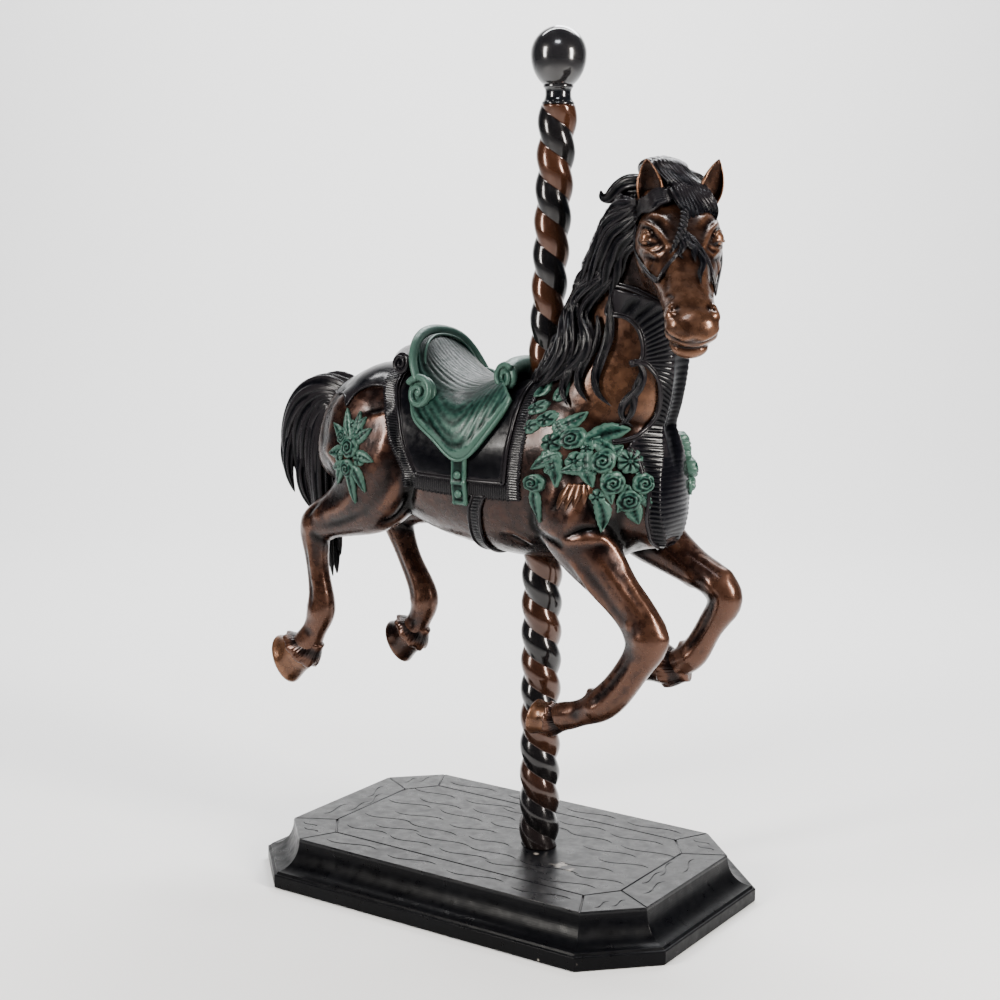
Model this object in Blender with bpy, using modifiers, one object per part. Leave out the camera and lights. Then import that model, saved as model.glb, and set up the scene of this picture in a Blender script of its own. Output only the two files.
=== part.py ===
# A bronze carousel horse on its twisted pole and cut-cornered base.
#
# Metres, +Z up. The horse faces +X and its left side is +Y. The origin is the
# middle of the base's underside. The horse is one casting: body, legs, head,
# mane, tail, saddle, blanket, collar and flowers. The base, the two lengths of
# pole and the ball finial are pieces of their own.
import math

import bmesh
import bpy
import numpy as np
from mathutils import Matrix, Vector

# Driving dimensions
TOTAL_HEIGHT = 1.83
FIT_GAP = 0.0004

BASE_HALF_LENGTH = 0.513
BASE_HALF_WIDTH = 0.331
BASE_CORNER_CUT = 0.131
BASE_HEIGHT = 0.100
BASE_TIER_HEIGHT = 0.029
BASE_BEAD_INSET = 0.008
BASE_TOP_INSET = 0.057
BASE_COVE_STEPS = 7

POLE_X = 0.088
POLE_LEAN = math.radians(2.4)
NOTCH_BEARING = math.radians(33.7)
STRAND_OFFSET_SHARE = 0.175
TWIST_SIDES = 12
TWIST_STEPS = 4
LOWER_RADIUS = 0.0435
LOWER_HALF_PITCH = 0.0624
LOWER_NOTCH_Z = 0.6688
LOWER_TOP_Z = 0.785
UPPER_FOOT_Z = 1.095
UPPER_FOOT_RADIUS = 0.0360
UPPER_TOP_RADIUS = 0.0405
UPPER_HALF_PITCH = 0.0666
UPPER_NOTCH_Z = 1.6088
UPPER_TOP_Z = 1.673
LOWER_POCKET_Z = 0.60
LOWER_POCKET_PLAY = 0.0012
UPPER_POCKET_Z = 1.45
UPPER_POCKET_PLAY = 0.0022
POCKET_SINK = 0.0022

BALL_RADIUS = 0.0570
BALL_DROP = 0.0710
FINIAL_NECK_RADIUS = 0.0262
FINIAL_FOOT_RADIUS = 0.0340
FINIAL_RING_RADIUS = 0.0308

NEAR = -1
FAR = 1
FORE_Y = 0.092
HIND_Y = 0.098
HAUNCH_BULGE = 0.062

HEAD_TURN = math.radians(53.5)
HEAD_TILT = math.radians(34)
POLL = Vector((0.399, -0.028, 1.460))

REMESH_VOXEL = 0.0055
HORSE_TRIANGLES = 6600


def clear_scene():
    for leftover in list(bpy.data.objects):
        bpy.data.objects.remove(leftover, do_unlink=True)


def new_collection(name, hidden=False):
    collection = bpy.data.collections.new(name)
    bpy.context.scene.collection.children.link(collection)
    collection.hide_render = hidden
    return collection


def new_material(name, colour, roughness, metallic):
    material = bpy.data.materials.new(name)
    material.use_nodes = True
    shader = material.node_tree.nodes["Principled BSDF"]
    shader.inputs["Base Color"].default_value = (*colour, 1.0)
    shader.inputs["Roughness"].default_value = roughness
    shader.inputs["Metallic"].default_value = metallic
    return material


def new_object(name, shape, collection, material):
    verts, faces = shape
    mesh = bpy.data.meshes.new(name)
    mesh.from_pydata([tuple(v) for v in verts], [], faces)
    mesh.validate()
    mesh.materials.append(material)
    obj = bpy.data.objects.new(name, mesh)
    collection.objects.link(obj)
    return obj


# Curves and lofts. A shape is a pair of points and faces.


def smooth_rows(rows, count):
    """A natural cubic curve through rows of numbers, spaced by the distance between their first three."""
    rows = np.asarray(rows, float)
    steps = np.linalg.norm(np.diff(rows[:, :3], axis=0), axis=1)
    knots = np.concatenate([[0.0], np.cumsum(np.maximum(steps, 1e-5))])
    last = len(rows) - 1
    gaps = np.diff(knots)
    system = np.eye(last + 1)
    rise = np.zeros_like(rows)
    for i in range(1, last):
        system[i, i - 1 : i + 2] = gaps[i - 1], 2 * (gaps[i - 1] + gaps[i]), gaps[i]
        rise[i] = 6 * ((rows[i + 1] - rows[i]) / gaps[i] - (rows[i] - rows[i - 1]) / gaps[i - 1])
    bend = np.linalg.solve(system, rise)
    where = np.linspace(0, knots[-1], count)
    span = np.clip(np.searchsorted(knots, where, side="right") - 1, 0, last - 1)
    a = ((knots[span + 1] - where) / gaps[span])[:, None]
    b = 1 - a
    cubic = (a**3 - a) * bend[span] + (b**3 - b) * bend[span + 1]
    return a * rows[span] + b * rows[span + 1] + cubic * (gaps[span] ** 2)[:, None] / 6


def power_wave(wave, power):
    return np.sign(wave) * np.abs(wave) ** (2.0 / power)


def closed_rings(rings):
    """A tube through equal rings, closed at each end by a fan to the ring's middle."""
    rings = np.asarray(rings, float)
    count, sides, _ = rings.shape
    verts = np.concatenate([rings.reshape(-1, 3), rings[0].mean(0)[None], rings[-1].mean(0)[None]])
    first, last = count * sides, count * sides + 1
    top = (count - 1) * sides
    faces = []
    for j in range(sides):
        k = (j + 1) % sides
        for i in range(count - 1):
            faces.append((i * sides + j, i * sides + k, (i + 1) * sides + k, (i + 1) * sides + j))
        faces.append((first, k, j))
        faces.append((last, top + j, top + k))
    return verts, faces


def loft(stations, rings, sides, power=2.0, across=(0, 1, 0)):
    """A closed loft along stations of (x, y, z, half width, half height above, half height below).

    The width lies across, and above is the path's direction crossed with that.
    """
    rows = smooth_rows(stations, rings)
    centre = rows[:, :3]
    size = np.maximum(rows[:, 3:6], 0.002)
    tangent = np.gradient(centre, axis=0)
    tangent /= np.linalg.norm(tangent, axis=1)[:, None]
    side = np.asarray(across, float) - tangent * (tangent @ np.asarray(across, float))[:, None]
    side /= np.linalg.norm(side, axis=1)[:, None]
    above = np.cross(tangent, side)
    turn = np.linspace(0, 2 * math.pi, sides, endpoint=False)
    wide = power_wave(np.cos(turn), power)
    tall = power_wave(np.sin(turn), power)
    height = np.where(tall[None, :] > 0, size[:, 1:2], size[:, 2:3]) * tall[None, :]
    width = size[:, 0:1] * wide[None, :]
    points = centre[:, None] + side[:, None] * width[..., None] + above[:, None] * height[..., None]
    return closed_rings(points)


def lock(points, thick, thin, rings=12, sides=8, flatten=1.0):
    """A lock of hair through points, full at its root and thin at its tip."""
    share = np.linspace(0, 1, len(points))
    swell = thick * np.sin(np.pi * (0.30 + 0.66 * share)) + thin * share
    return loft([(*p, s * flatten, s, s) for p, s in zip(points, swell)], rings, sides)


def roll(points, radius, rings=12, sides=12, across=(1, 0, 0)):
    """An even round bar through points."""
    return loft([(*p, radius, radius, radius) for p in points], rings, sides, across=across)


def from_bmesh(mesh):
    mesh.verts.ensure_lookup_table()
    shape = np.array([v.co for v in mesh.verts]), [tuple(v.index for v in face.verts) for face in mesh.faces]
    mesh.free()
    return shape


def ball(centre, radii, sides=10):
    mesh = bmesh.new()
    bmesh.ops.create_uvsphere(mesh, u_segments=sides, v_segments=sides // 2 + 1, radius=1.0)
    mesh.verts.index_update()
    verts, faces = from_bmesh(mesh)
    return verts * np.asarray(radii, float) + np.asarray(centre, float), faces


def drum(centre, axis, radius, length, sides=18):
    """A short cylinder with its middle at centre."""
    place = Matrix.Translation(centre) @ Vector(axis).to_track_quat("Z", "Y").to_matrix().to_4x4()
    mesh = bmesh.new()
    bmesh.ops.create_cone(
        mesh, cap_ends=True, segments=sides, radius1=radius, radius2=radius, depth=length, matrix=place
    )
    mesh.verts.index_update()
    return from_bmesh(mesh)


def moved(shape, matrix, shift):
    verts, faces = shape
    return verts @ np.asarray(matrix).T + np.asarray(shift), faces


def gathered(shapes):
    verts, faces = [], []
    start = 0
    for points, polygons in shapes:
        verts.append(points)
        faces += [tuple(i + start for i in polygon) for polygon in polygons]
        start += len(points)
    return np.concatenate(verts), faces


# Body. The barrel's stations from rump to chest: x, middle z, half width, height above, height below
TORSO = (
    (-0.462, 0.990, 0.020, 0.030, 0.030),
    (-0.448, 0.985, 0.070, 0.078, 0.085),
    (-0.410, 0.975, 0.112, 0.122, 0.125),
    (-0.340, 0.965, 0.144, 0.160, 0.148),
    (-0.250, 0.955, 0.148, 0.163, 0.142),
    (-0.150, 0.945, 0.147, 0.155, 0.168),
    (-0.050, 0.940, 0.150, 0.152, 0.186),
    (0.050, 0.940, 0.149, 0.166, 0.199),
    (0.150, 0.945, 0.144, 0.190, 0.200),
    (0.250, 0.955, 0.132, 0.190, 0.198),
    (0.330, 0.965, 0.110, 0.170, 0.180),
    (0.385, 0.975, 0.075, 0.130, 0.130),
    (0.408, 0.980, 0.025, 0.045, 0.045),
)
TORSO_POWER = 2.2
# Neck from withers to poll: x, y, z, half width, depth to the crest, depth to the throat
NECK = (
    (0.175, 0.000, 1.005, 0.115, 0.120, 0.150),
    (0.235, 0.000, 1.090, 0.108, 0.125, 0.150),
    (0.275, -0.002, 1.180, 0.094, 0.118, 0.132),
    (0.305, -0.010, 1.270, 0.080, 0.105, 0.112),
    (0.338, -0.022, 1.355, 0.070, 0.092, 0.095),
    (0.368, -0.036, 1.425, 0.064, 0.080, 0.080),
    (0.385, -0.045, 1.475, 0.055, 0.060, 0.060),
)
# Head from poll to lips: distance along, rise, half width, depth above, depth below
HEAD = (
    (-0.048, 0.010, 0.018, 0.020, 0.022),
    (-0.030, 0.010, 0.048, 0.050, 0.055),
    (0.020, 0.004, 0.068, 0.060, 0.082),
    (0.070, 0.000, 0.077, 0.062, 0.104),
    (0.115, 0.000, 0.078, 0.060, 0.112),
    (0.160, -0.002, 0.068, 0.054, 0.098),
    (0.205, -0.006, 0.057, 0.048, 0.074),
    (0.250, -0.010, 0.051, 0.044, 0.058),
    (0.290, -0.012, 0.051, 0.043, 0.054),
    (0.325, -0.014, 0.053, 0.039, 0.054),
    (0.352, -0.018, 0.045, 0.029, 0.042),
    (0.366, -0.022, 0.020, 0.012, 0.018),
)
# One ear: along, sideways, rise, half width, half thickness
EAR = (
    (0.004, 0.044, 0.018, 0.012, 0.019),
    (-0.004, 0.053, 0.042, 0.013, 0.023),
    (-0.016, 0.061, 0.064, 0.011, 0.020),
    (-0.028, 0.067, 0.084, 0.008, 0.013),
    (-0.037, 0.070, 0.102, 0.003, 0.003),
)
# Forelock strands: sideways at the root, sideways at the tip, how far down the face
FORELOCK = (
    (-0.022, -0.012, 0.060),
    (-0.006, 0.022, 0.085),
    (0.010, 0.045, 0.075),
    (0.020, 0.062, 0.050),
)


def torso_rows():
    return smooth_rows([(x, 0, z, w, up, down) for x, z, w, up, down in TORSO], 160)


def torso_shape(grow=0.0, sides=40, rings=48, x_from=-1.0, x_to=1.0, floor=None):
    """The barrel of the body, grown outwards, cut to a stretch in x and flattened below a floor height."""
    rows = torso_rows()
    rows = rows[(rows[:, 0] > x_from) & (rows[:, 0] < x_to)]
    rows = rows[np.linspace(0, len(rows) - 1, rings).astype(int)]
    rows[:, 3:6] += grow
    turn = np.linspace(0, 2 * math.pi, sides, endpoint=False)
    wide = power_wave(np.cos(turn), TORSO_POWER)
    tall = power_wave(np.sin(turn), TORSO_POWER)
    x = np.repeat(rows[:, 0:1], sides, axis=1)
    y = rows[:, 3:4] * wide[None]
    z = rows[:, 2:3] + np.where(tall[None] > 0, rows[:, 4:5], rows[:, 5:6]) * tall[None]
    if floor is not None:
        z = np.maximum(z, floor(x))
    return closed_rings(np.stack([x, y, z], axis=2))


def torso_width(x, z):
    """Half the barrel's width at a place on its side."""
    rows = torso_rows()
    middle, half, up, down = (np.interp(x, rows[:, 0], rows[:, k]) for k in (2, 3, 4, 5))
    level = np.clip(abs(z - middle) / (up if z > middle else down), 0, 0.999)
    return half * (1 - level**TORSO_POWER) ** (1 / TORSO_POWER)


def side_skin(x, z):
    """Half the horse's width at a place on its side, haunch and chest muscle included."""
    haunch = HIND_Y + HAUNCH_BULGE if x < -0.2 else 0.0
    return max(torso_width(x, z), haunch, 0.070)


def neck_shape():
    return loft(NECK, 30, 28, power=2.2)


def head_axes():
    """Unit vectors along the head, to its left, and out of its forehead."""
    c, s = math.cos(-HEAD_TURN), math.sin(-HEAD_TURN)
    turn = np.array([[c, -s, 0], [s, c, 0], [0, 0, 1]])
    along = turn @ (math.cos(HEAD_TILT), 0, -math.sin(HEAD_TILT))
    left = turn @ (0, 1, 0)
    out = turn @ (math.sin(HEAD_TILT), 0, math.cos(HEAD_TILT))
    return np.array([along, left, out]).T


def head_shapes():
    """The head, ears and forelock, made along X and then turned into place."""
    shapes = [loft([(u, 0, w, half, up, down) for u, w, half, up, down in HEAD], 34, 26, power=2.3)]
    for s in (NEAR, FAR):
        shapes.append(loft([(u, s * v, w, half, deep, deep) for u, v, w, half, deep in EAR], 9, 10))
        brow = ball((0.112, s * 0.062, 0.024), (0.028, 0.017, 0.020))
        nostril = ball((0.318, s * 0.040, 0.000), (0.022, 0.014, 0.020))
        cheek = ball((0.085, s * 0.050, -0.050), (0.058, 0.028, 0.056))
        shapes += [brow, nostril, cheek]
    chin = ball((0.322, 0, -0.066), (0.034, 0.034, 0.020))
    topknot = ball((-0.040, -0.008, 0.058), (0.052, 0.036, 0.046))
    shapes += [chin, topknot]
    for root, tip, drop in FORELOCK:
        middle = (root + tip) / 2
        path = [(-0.050, root, 0.088), (-0.010, root, 0.090), (0.030, middle, 0.074), (drop, tip, 0.058)]
        shapes.append(lock(path, 0.019, 0.004, rings=9))
    return [moved(shape, head_axes(), POLL) for shape in shapes]


# Legs: x, z, half width, half depth in front, half depth behind
FORE_NEAR = (
    (0.190, 0.985, 0.036, 0.080, 0.075),
    (0.205, 0.900, 0.056, 0.085, 0.085),
    (0.240, 0.820, 0.057, 0.072, 0.080),
    (0.290, 0.755, 0.046, 0.054, 0.060),
    (0.345, 0.695, 0.038, 0.042, 0.045),
    (0.383, 0.652, 0.036, 0.042, 0.046),
    (0.398, 0.622, 0.036, 0.044, 0.048),
    (0.386, 0.585, 0.031, 0.036, 0.042),
    (0.352, 0.535, 0.028, 0.034, 0.036),
    (0.315, 0.490, 0.029, 0.036, 0.036),
    (0.285, 0.465, 0.030, 0.034, 0.035),
    (0.245, 0.445, 0.025, 0.028, 0.028),
    (0.200, 0.430, 0.026, 0.030, 0.030),
    (0.180, 0.427, 0.022, 0.026, 0.026),
)
FORE_FAR = (
    (0.190, 0.985, 0.036, 0.080, 0.075),
    (0.225, 0.880, 0.056, 0.080, 0.085),
    (0.280, 0.815, 0.056, 0.066, 0.072),
    (0.350, 0.768, 0.044, 0.048, 0.052),
    (0.415, 0.733, 0.036, 0.037, 0.039),
    (0.458, 0.710, 0.034, 0.036, 0.036),
    (0.474, 0.684, 0.034, 0.037, 0.034),
    (0.456, 0.640, 0.027, 0.030, 0.032),
    (0.427, 0.590, 0.025, 0.028, 0.030),
    (0.400, 0.550, 0.028, 0.031, 0.033),
    (0.372, 0.530, 0.028, 0.030, 0.032),
    (0.335, 0.512, 0.025, 0.027, 0.028),
    (0.302, 0.505, 0.026, 0.030, 0.030),
    (0.285, 0.504, 0.022, 0.026, 0.026),
)
HIND_NEAR = (
    (-0.290, 1.020, 0.050, 0.110, 0.120),
    (-0.275, 0.940, 0.070, 0.130, 0.140),
    (-0.290, 0.870, 0.066, 0.115, 0.110),
    (-0.345, 0.815, 0.050, 0.072, 0.070),
    (-0.405, 0.785, 0.040, 0.048, 0.050),
    (-0.447, 0.762, 0.033, 0.043, 0.038),
    (-0.448, 0.715, 0.027, 0.031, 0.031),
    (-0.441, 0.650, 0.024, 0.025, 0.026),
    (-0.434, 0.600, 0.027, 0.030, 0.031),
    (-0.436, 0.568, 0.029, 0.034, 0.034),
    (-0.456, 0.520, 0.025, 0.028, 0.028),
    (-0.482, 0.480, 0.028, 0.033, 0.033),
    (-0.494, 0.465, 0.022, 0.026, 0.026),
)
HIND_FAR = (
    (-0.270, 1.020, 0.050, 0.110, 0.120),
    (-0.250, 0.940, 0.070, 0.130, 0.140),
    (-0.255, 0.870, 0.066, 0.115, 0.110),
    (-0.290, 0.820, 0.050, 0.074, 0.070),
    (-0.335, 0.795, 0.040, 0.050, 0.050),
    (-0.368, 0.770, 0.034, 0.046, 0.040),
    (-0.356, 0.720, 0.028, 0.032, 0.032),
    (-0.326, 0.655, 0.025, 0.027, 0.028),
    (-0.300, 0.605, 0.028, 0.032, 0.032),
    (-0.292, 0.572, 0.029, 0.034, 0.034),
    (-0.308, 0.525, 0.025, 0.028, 0.028),
    (-0.330, 0.490, 0.028, 0.033, 0.033),
    (-0.342, 0.476, 0.022, 0.026, 0.026),
)
# A hoof from inside its crown to its sole: share of the way, share of its size
HOOF_STEPS = ((-0.25, 0.55), (0.0, 0.98), (0.10, 1.04), (0.50, 1.14), (0.97, 1.28), (1.0, 1.23))


def leg(stations, y):
    return loft([(x, y, z, half, front, back) for x, z, half, front, back in stations], 34, 18, power=2.1)


def hoof(crown, sole, y, half_width, half_depth):
    """A flaring hoof from the middle of its crown to the middle of its flat sole."""
    crown, sole = np.array([crown[0], y, crown[1]]), np.array([sole[0], y, sole[1]])
    rows = []
    for share, size in HOOF_STEPS:
        middle = crown + (sole - crown) * share
        rows.append((*middle, half_width * size, half_depth * size, half_depth * size * 0.9))
    return loft(rows, 12, 18)


def leg_shapes():
    return [
        leg(FORE_NEAR, NEAR * FORE_Y),
        leg(FORE_FAR, FAR * FORE_Y),
        leg(HIND_NEAR, NEAR * HIND_Y),
        leg(HIND_FAR, FAR * HIND_Y),
        hoof((0.192, 0.428), (0.142, 0.424), NEAR * FORE_Y, 0.029, 0.033),
        hoof((0.295, 0.505), (0.248, 0.508), FAR * FORE_Y, 0.029, 0.033),
        hoof((-0.490, 0.470), (-0.532, 0.438), NEAR * HIND_Y, 0.030, 0.035),
        hoof((-0.330, 0.484), (-0.368, 0.455), FAR * HIND_Y, 0.029, 0.034),
    ]


# Mane and tail. The crest line carries the mane's locks; the tail's locks lie round its middle line.
CREST = (
    (0.166, 0.000, 1.165),
    (0.176, 0.000, 1.240),
    (0.205, -0.003, 1.315),
    (0.230, -0.008, 1.385),
    (0.256, -0.016, 1.445),
    (0.296, -0.026, 1.502),
    (0.355, -0.032, 1.548),
)
CREST_LOCKS = 10
FLICK = (
    (0.330, -0.050, 1.520),
    (0.285, -0.046, 1.512),
    (0.248, -0.042, 1.492),
    (0.228, -0.040, 1.494),
    (0.226, -0.040, 1.508),
)
TAIL = (
    (-0.420, 0, 1.015),
    (-0.462, 0, 1.038),
    (-0.510, 0, 1.030),
    (-0.548, 0, 0.985),
    (-0.562, 0, 0.920),
    (-0.552, 0, 0.855),
    (-0.522, 0, 0.795),
    (-0.488, 0, 0.740),
    (-0.465, 0, 0.690),
)
TAIL_LOCKS = 7
TAIL_SPREAD = 0.034


def mane_shapes():
    """A crest roll with overlapping locks hung from it down both sides of the neck."""
    crest = smooth_rows(CREST, CREST_LOCKS)
    shapes = [lock(crest - (0, 0, 0.012), 0.034, 0.020, rings=24, sides=12), lock(FLICK, 0.017, 0.006)]
    for side in (NEAR, FAR):
        for i, root in enumerate(crest):
            swing = 0.5 + 0.5 * math.sin(2.4 * i)
            fall = 0.115 + 0.050 * swing
            out = side * (0.060 + 0.028 * (1 - i / (CREST_LOCKS - 1)))
            path = root + np.array(
                [
                    (0.000, side * 0.004, 0.006),
                    (0.016, 0.72 * out, -0.25 * fall),
                    (0.034 + 0.02 * swing, 1.08 * out, -0.62 * fall),
                    (0.016 + 0.05 * swing, 1.22 * out, -1.00 * fall),
                    (0.050, 1.26 * out, -1.30 * fall),
                ]
            )
            shapes.append(lock(path, 0.024, 0.004, flatten=0.75))
    return shapes


def tail_shapes():
    """A full bundle of locks that arches from the dock and curls in behind the near hock."""
    middle = smooth_rows(TAIL, 12)
    run = np.gradient(middle, axis=0)
    run /= np.linalg.norm(run, axis=1)[:, None]
    outward = np.stack([-run[:, 2], run[:, 1], run[:, 0]], axis=1)
    share = np.linspace(0, 1, len(middle))
    spread = TAIL_SPREAD * np.sin(np.pi * (0.12 + 0.80 * share)) ** 0.8
    shapes = [lock(middle, 0.044, 0.010, rings=20, sides=12)]
    for i in range(TAIL_LOCKS):
        turn = 2 * math.pi * i / TAIL_LOCKS + 1.1 * share
        path = middle + outward * (spread * np.cos(turn))[:, None]
        path[:, 1] += 0.9 * spread * np.sin(turn)
        shapes.append(lock(path[: len(path) - i % 3], 0.025, 0.008, rings=18))
    return shapes


# Saddle and harness. The seat's line from cantle to pommel: x, top z, half width
SEAT = (
    (-0.212, 1.165, 0.030),
    (-0.204, 1.190, 0.074),
    (-0.185, 1.198, 0.092),
    (-0.155, 1.172, 0.104),
    (-0.105, 1.128, 0.112),
    (-0.050, 1.106, 0.112),
    (-0.005, 1.118, 0.100),
    (0.014, 1.146, 0.078),
    (0.034, 1.140, 0.050),
)
SEAT_DEPTH = 0.050
CANTLE_RIM = (
    (-0.133, -0.126, 1.100),
    (-0.160, -0.120, 1.150),
    (-0.185, -0.080, 1.188),
    (-0.192, 0.000, 1.197),
    (-0.185, 0.080, 1.188),
    (-0.160, 0.120, 1.150),
    (-0.133, 0.126, 1.100),
)
BOLSTER = (
    (-0.205, -0.128, 1.140),
    (-0.222, -0.080, 1.146),
    (-0.238, 0.000, 1.152),
    (-0.222, 0.080, 1.146),
    (-0.205, 0.128, 1.140),
)
POMMEL = ((0.050, -0.088, 1.130), (0.038, 0.000, 1.135), (0.050, 0.088, 1.130))
BLANKET_BACK = -0.225
BLANKET_FRONT = 0.104
BLANKET_LOW = 0.905
FRINGE = 0.035
FLAP_MIDDLE = -0.015
STRAP_HALF_WIDTH = 0.017
STRAP_LOW = 0.872
STUD_HEIGHTS = (0.922, 0.888)
GIRTH_LOW = 0.745
GIRTH_LEAN = 0.075
# Collar from throat to between the forelegs: x, y, z, half width, depth in front, depth behind
COLLAR = (
    (0.372, -0.045, 1.300, 0.060, 0.020, 0.020),
    (0.386, -0.020, 1.230, 0.068, 0.020, 0.020),
    (0.387, -0.006, 1.120, 0.072, 0.022, 0.024),
    (0.389, 0.000, 1.020, 0.068, 0.024, 0.022),
    (0.387, 0.000, 0.930, 0.060, 0.024, 0.022),
    (0.354, 0.000, 0.845, 0.048, 0.022, 0.022),
    (0.300, 0.000, 0.775, 0.034, 0.016, 0.020),
)


def blanket_floor(x):
    return BLANKET_LOW + 0.35 * np.clip(-0.130 - x, 0, 1)


def fringe_floor(x):
    return blanket_floor(x) - FRINGE


def flap_floor(x):
    """The saddle flap's lower edge: it draws in to a narrow strap below the seat."""
    away = np.abs(x - FLAP_MIDDLE) - STRAP_HALF_WIDTH
    back = 0.985 + 0.085 * np.clip(away / 0.145, 0, 1) ** 0.6
    front = 0.945 + 0.150 * np.clip(away / 0.100, 0, 1) ** 0.85
    return np.where(away < 0, STRAP_LOW, np.where(x < FLAP_MIDDLE, back, front))


def saddle_shapes():
    """Fringe, blanket and flaps grown from the barrel, with the seat, its rim, scrolls and bolster."""
    edge_back, edge_front = BLANKET_BACK - FRINGE, BLANKET_FRONT + FRINGE
    shapes = [
        torso_shape(grow=0.003, x_from=edge_back, x_to=edge_front, floor=fringe_floor, rings=20),
        torso_shape(grow=0.007, x_from=BLANKET_BACK, x_to=BLANKET_FRONT, floor=blanket_floor, rings=20),
        torso_shape(grow=0.015, x_from=-0.180, x_to=0.100, floor=flap_floor, rings=40),
        loft([(x, 0, z - SEAT_DEPTH, half, SEAT_DEPTH, 0.060) for x, z, half in SEAT], 26, 20, power=2.6),
        roll(CANTLE_RIM, 0.013, rings=30, sides=10),
        roll(BOLSTER, 0.024),
        roll(POMMEL, 0.024),
    ]
    for side in (NEAR, FAR):
        shapes.append(drum((-0.133, side * 0.124, 1.084), (0, 1, -0.35 * side), 0.033, 0.044))
        shapes.append(drum((0.052, side * 0.088, 1.128), (0, 1, -0.25 * side), 0.025, 0.042))
        for z in STUD_HEIGHTS:
            y = side * (torso_width(FLAP_MIDDLE, z) + 0.012)
            shapes.append(ball((FLAP_MIDDLE, y, z), (0.016, 0.009, 0.014)))
    return shapes


def girth_shape():
    """The girth strap: a grown slice of the barrel that leans forward on its way down from the flap."""
    half = STRAP_HALF_WIDTH + 0.002
    verts, faces = torso_shape(grow=0.005, x_from=FLAP_MIDDLE - half, x_to=FLAP_MIDDLE + half, rings=4)
    lean = np.clip((STRAP_LOW - verts[:, 2]) / (STRAP_LOW - GIRTH_LOW), 0, 1)
    verts[:, 0] += GIRTH_LEAN * lean
    verts[:, 2] = np.minimum(verts[:, 2], 1.0)
    return verts, faces


def collar_shape():
    return loft(COLLAR, 22, 14, power=2.4)


# Flowers on the side of the horse: x, z, radius. Leaves: root x and z, tip x and z, half width.
SHOULDER_FLOWERS = (
    (0.243, 1.016, 0.021),
    (0.308, 0.977, 0.024),
    (0.321, 0.936, 0.024),
    (0.362, 0.933, 0.021),
    (0.345, 0.901, 0.024),
    (0.350, 0.974, 0.025),
    (0.247, 0.964, 0.019),
    (0.294, 0.902, 0.015),
    (0.169, 1.070, 0.017),
    (0.180, 1.027, 0.019),
    (0.207, 1.011, 0.019),
    (0.165, 0.920, 0.018),
)
SHOULDER_LEAVES = (
    (0.275, 1.005, 0.355, 1.040, 0.017),
    (0.205, 1.035, 0.262, 1.065, 0.014),
    (0.245, 0.990, 0.270, 0.915, 0.015),
    (0.300, 0.890, 0.285, 0.835, 0.013),
    (0.345, 0.885, 0.362, 0.845, 0.013),
    (0.170, 0.915, 0.180, 0.865, 0.012),
    (0.175, 1.060, 0.180, 1.125, 0.013),
)
HAUNCH_FLOWERS = (
    (-0.303, 0.966, 0.021),
    (-0.302, 0.925, 0.021),
    (-0.330, 0.995, 0.014),
    (-0.270, 0.945, 0.014),
)
HAUNCH_LEAVES = (
    (-0.315, 0.990, -0.338, 1.045, 0.011),
    (-0.285, 0.960, -0.235, 0.992, 0.012),
    (-0.300, 0.905, -0.275, 0.845, 0.012),
    (-0.330, 0.940, -0.372, 0.915, 0.011),
    (-0.280, 0.925, -0.238, 0.905, 0.011),
)
FAR_SHOULDER_SHIFT = 0.020
FLOWER_RELIEF = 0.012
LEAF_RELIEF = 0.007


def leaf_shape(leaf, side, shift):
    x0, z0, x1, z1, half = leaf
    stations = []
    for share in (0.0, 0.35, 0.7, 1.0):
        x, z = x0 + (x1 - x0) * share, z0 + (z1 - z0) * share
        wide = half * math.sin(math.pi * (0.12 + 0.84 * share))
        stations.append((x + shift, side * (side_skin(x, z) + 0.002), z, LEAF_RELIEF, wide, wide))
    return loft(stations, 7, 8)


def flower_shapes():
    """Roses, daisies and leaves on both shoulders and both haunches."""
    shapes = []
    for side, ahead in ((NEAR, 0.0), (FAR, FAR_SHOULDER_SHIFT)):
        for flowers, leaves, shift in (
            (SHOULDER_FLOWERS, SHOULDER_LEAVES, ahead),
            (HAUNCH_FLOWERS, HAUNCH_LEAVES, 0.0),
        ):
            for x, z, radius in flowers:
                middle = (x + shift, side * (side_skin(x, z) + 0.003), z)
                shapes.append(ball(middle, (radius, FLOWER_RELIEF, radius)))
            shapes += [leaf_shape(leaf, side, shift) for leaf in leaves]
    return shapes


def pole_spot(z):
    """Where the upper pole's axis is at a height; it leans forward a little."""
    return np.array([POLE_X + math.tan(POLE_LEAN) * (z - UPPER_FOOT_Z), 0.0, z])


def pocket_cutter(name, low, high, radius, collection):
    low, high = Vector(low), Vector(high)
    bpy.ops.mesh.primitive_cylinder_add(vertices=28, radius=radius, depth=(high - low).length)
    cutter = bpy.context.object
    cutter.name = name
    cutter.location = (low + high) / 2
    cutter.rotation_euler = (high - low).to_track_quat("Z", "Y").to_euler()
    for owner in list(cutter.users_collection):
        owner.objects.unlink(cutter)
    collection.objects.link(cutter)
    cutter.hide_render = True
    cutter.display_type = "WIRE"
    return cutter


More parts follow.
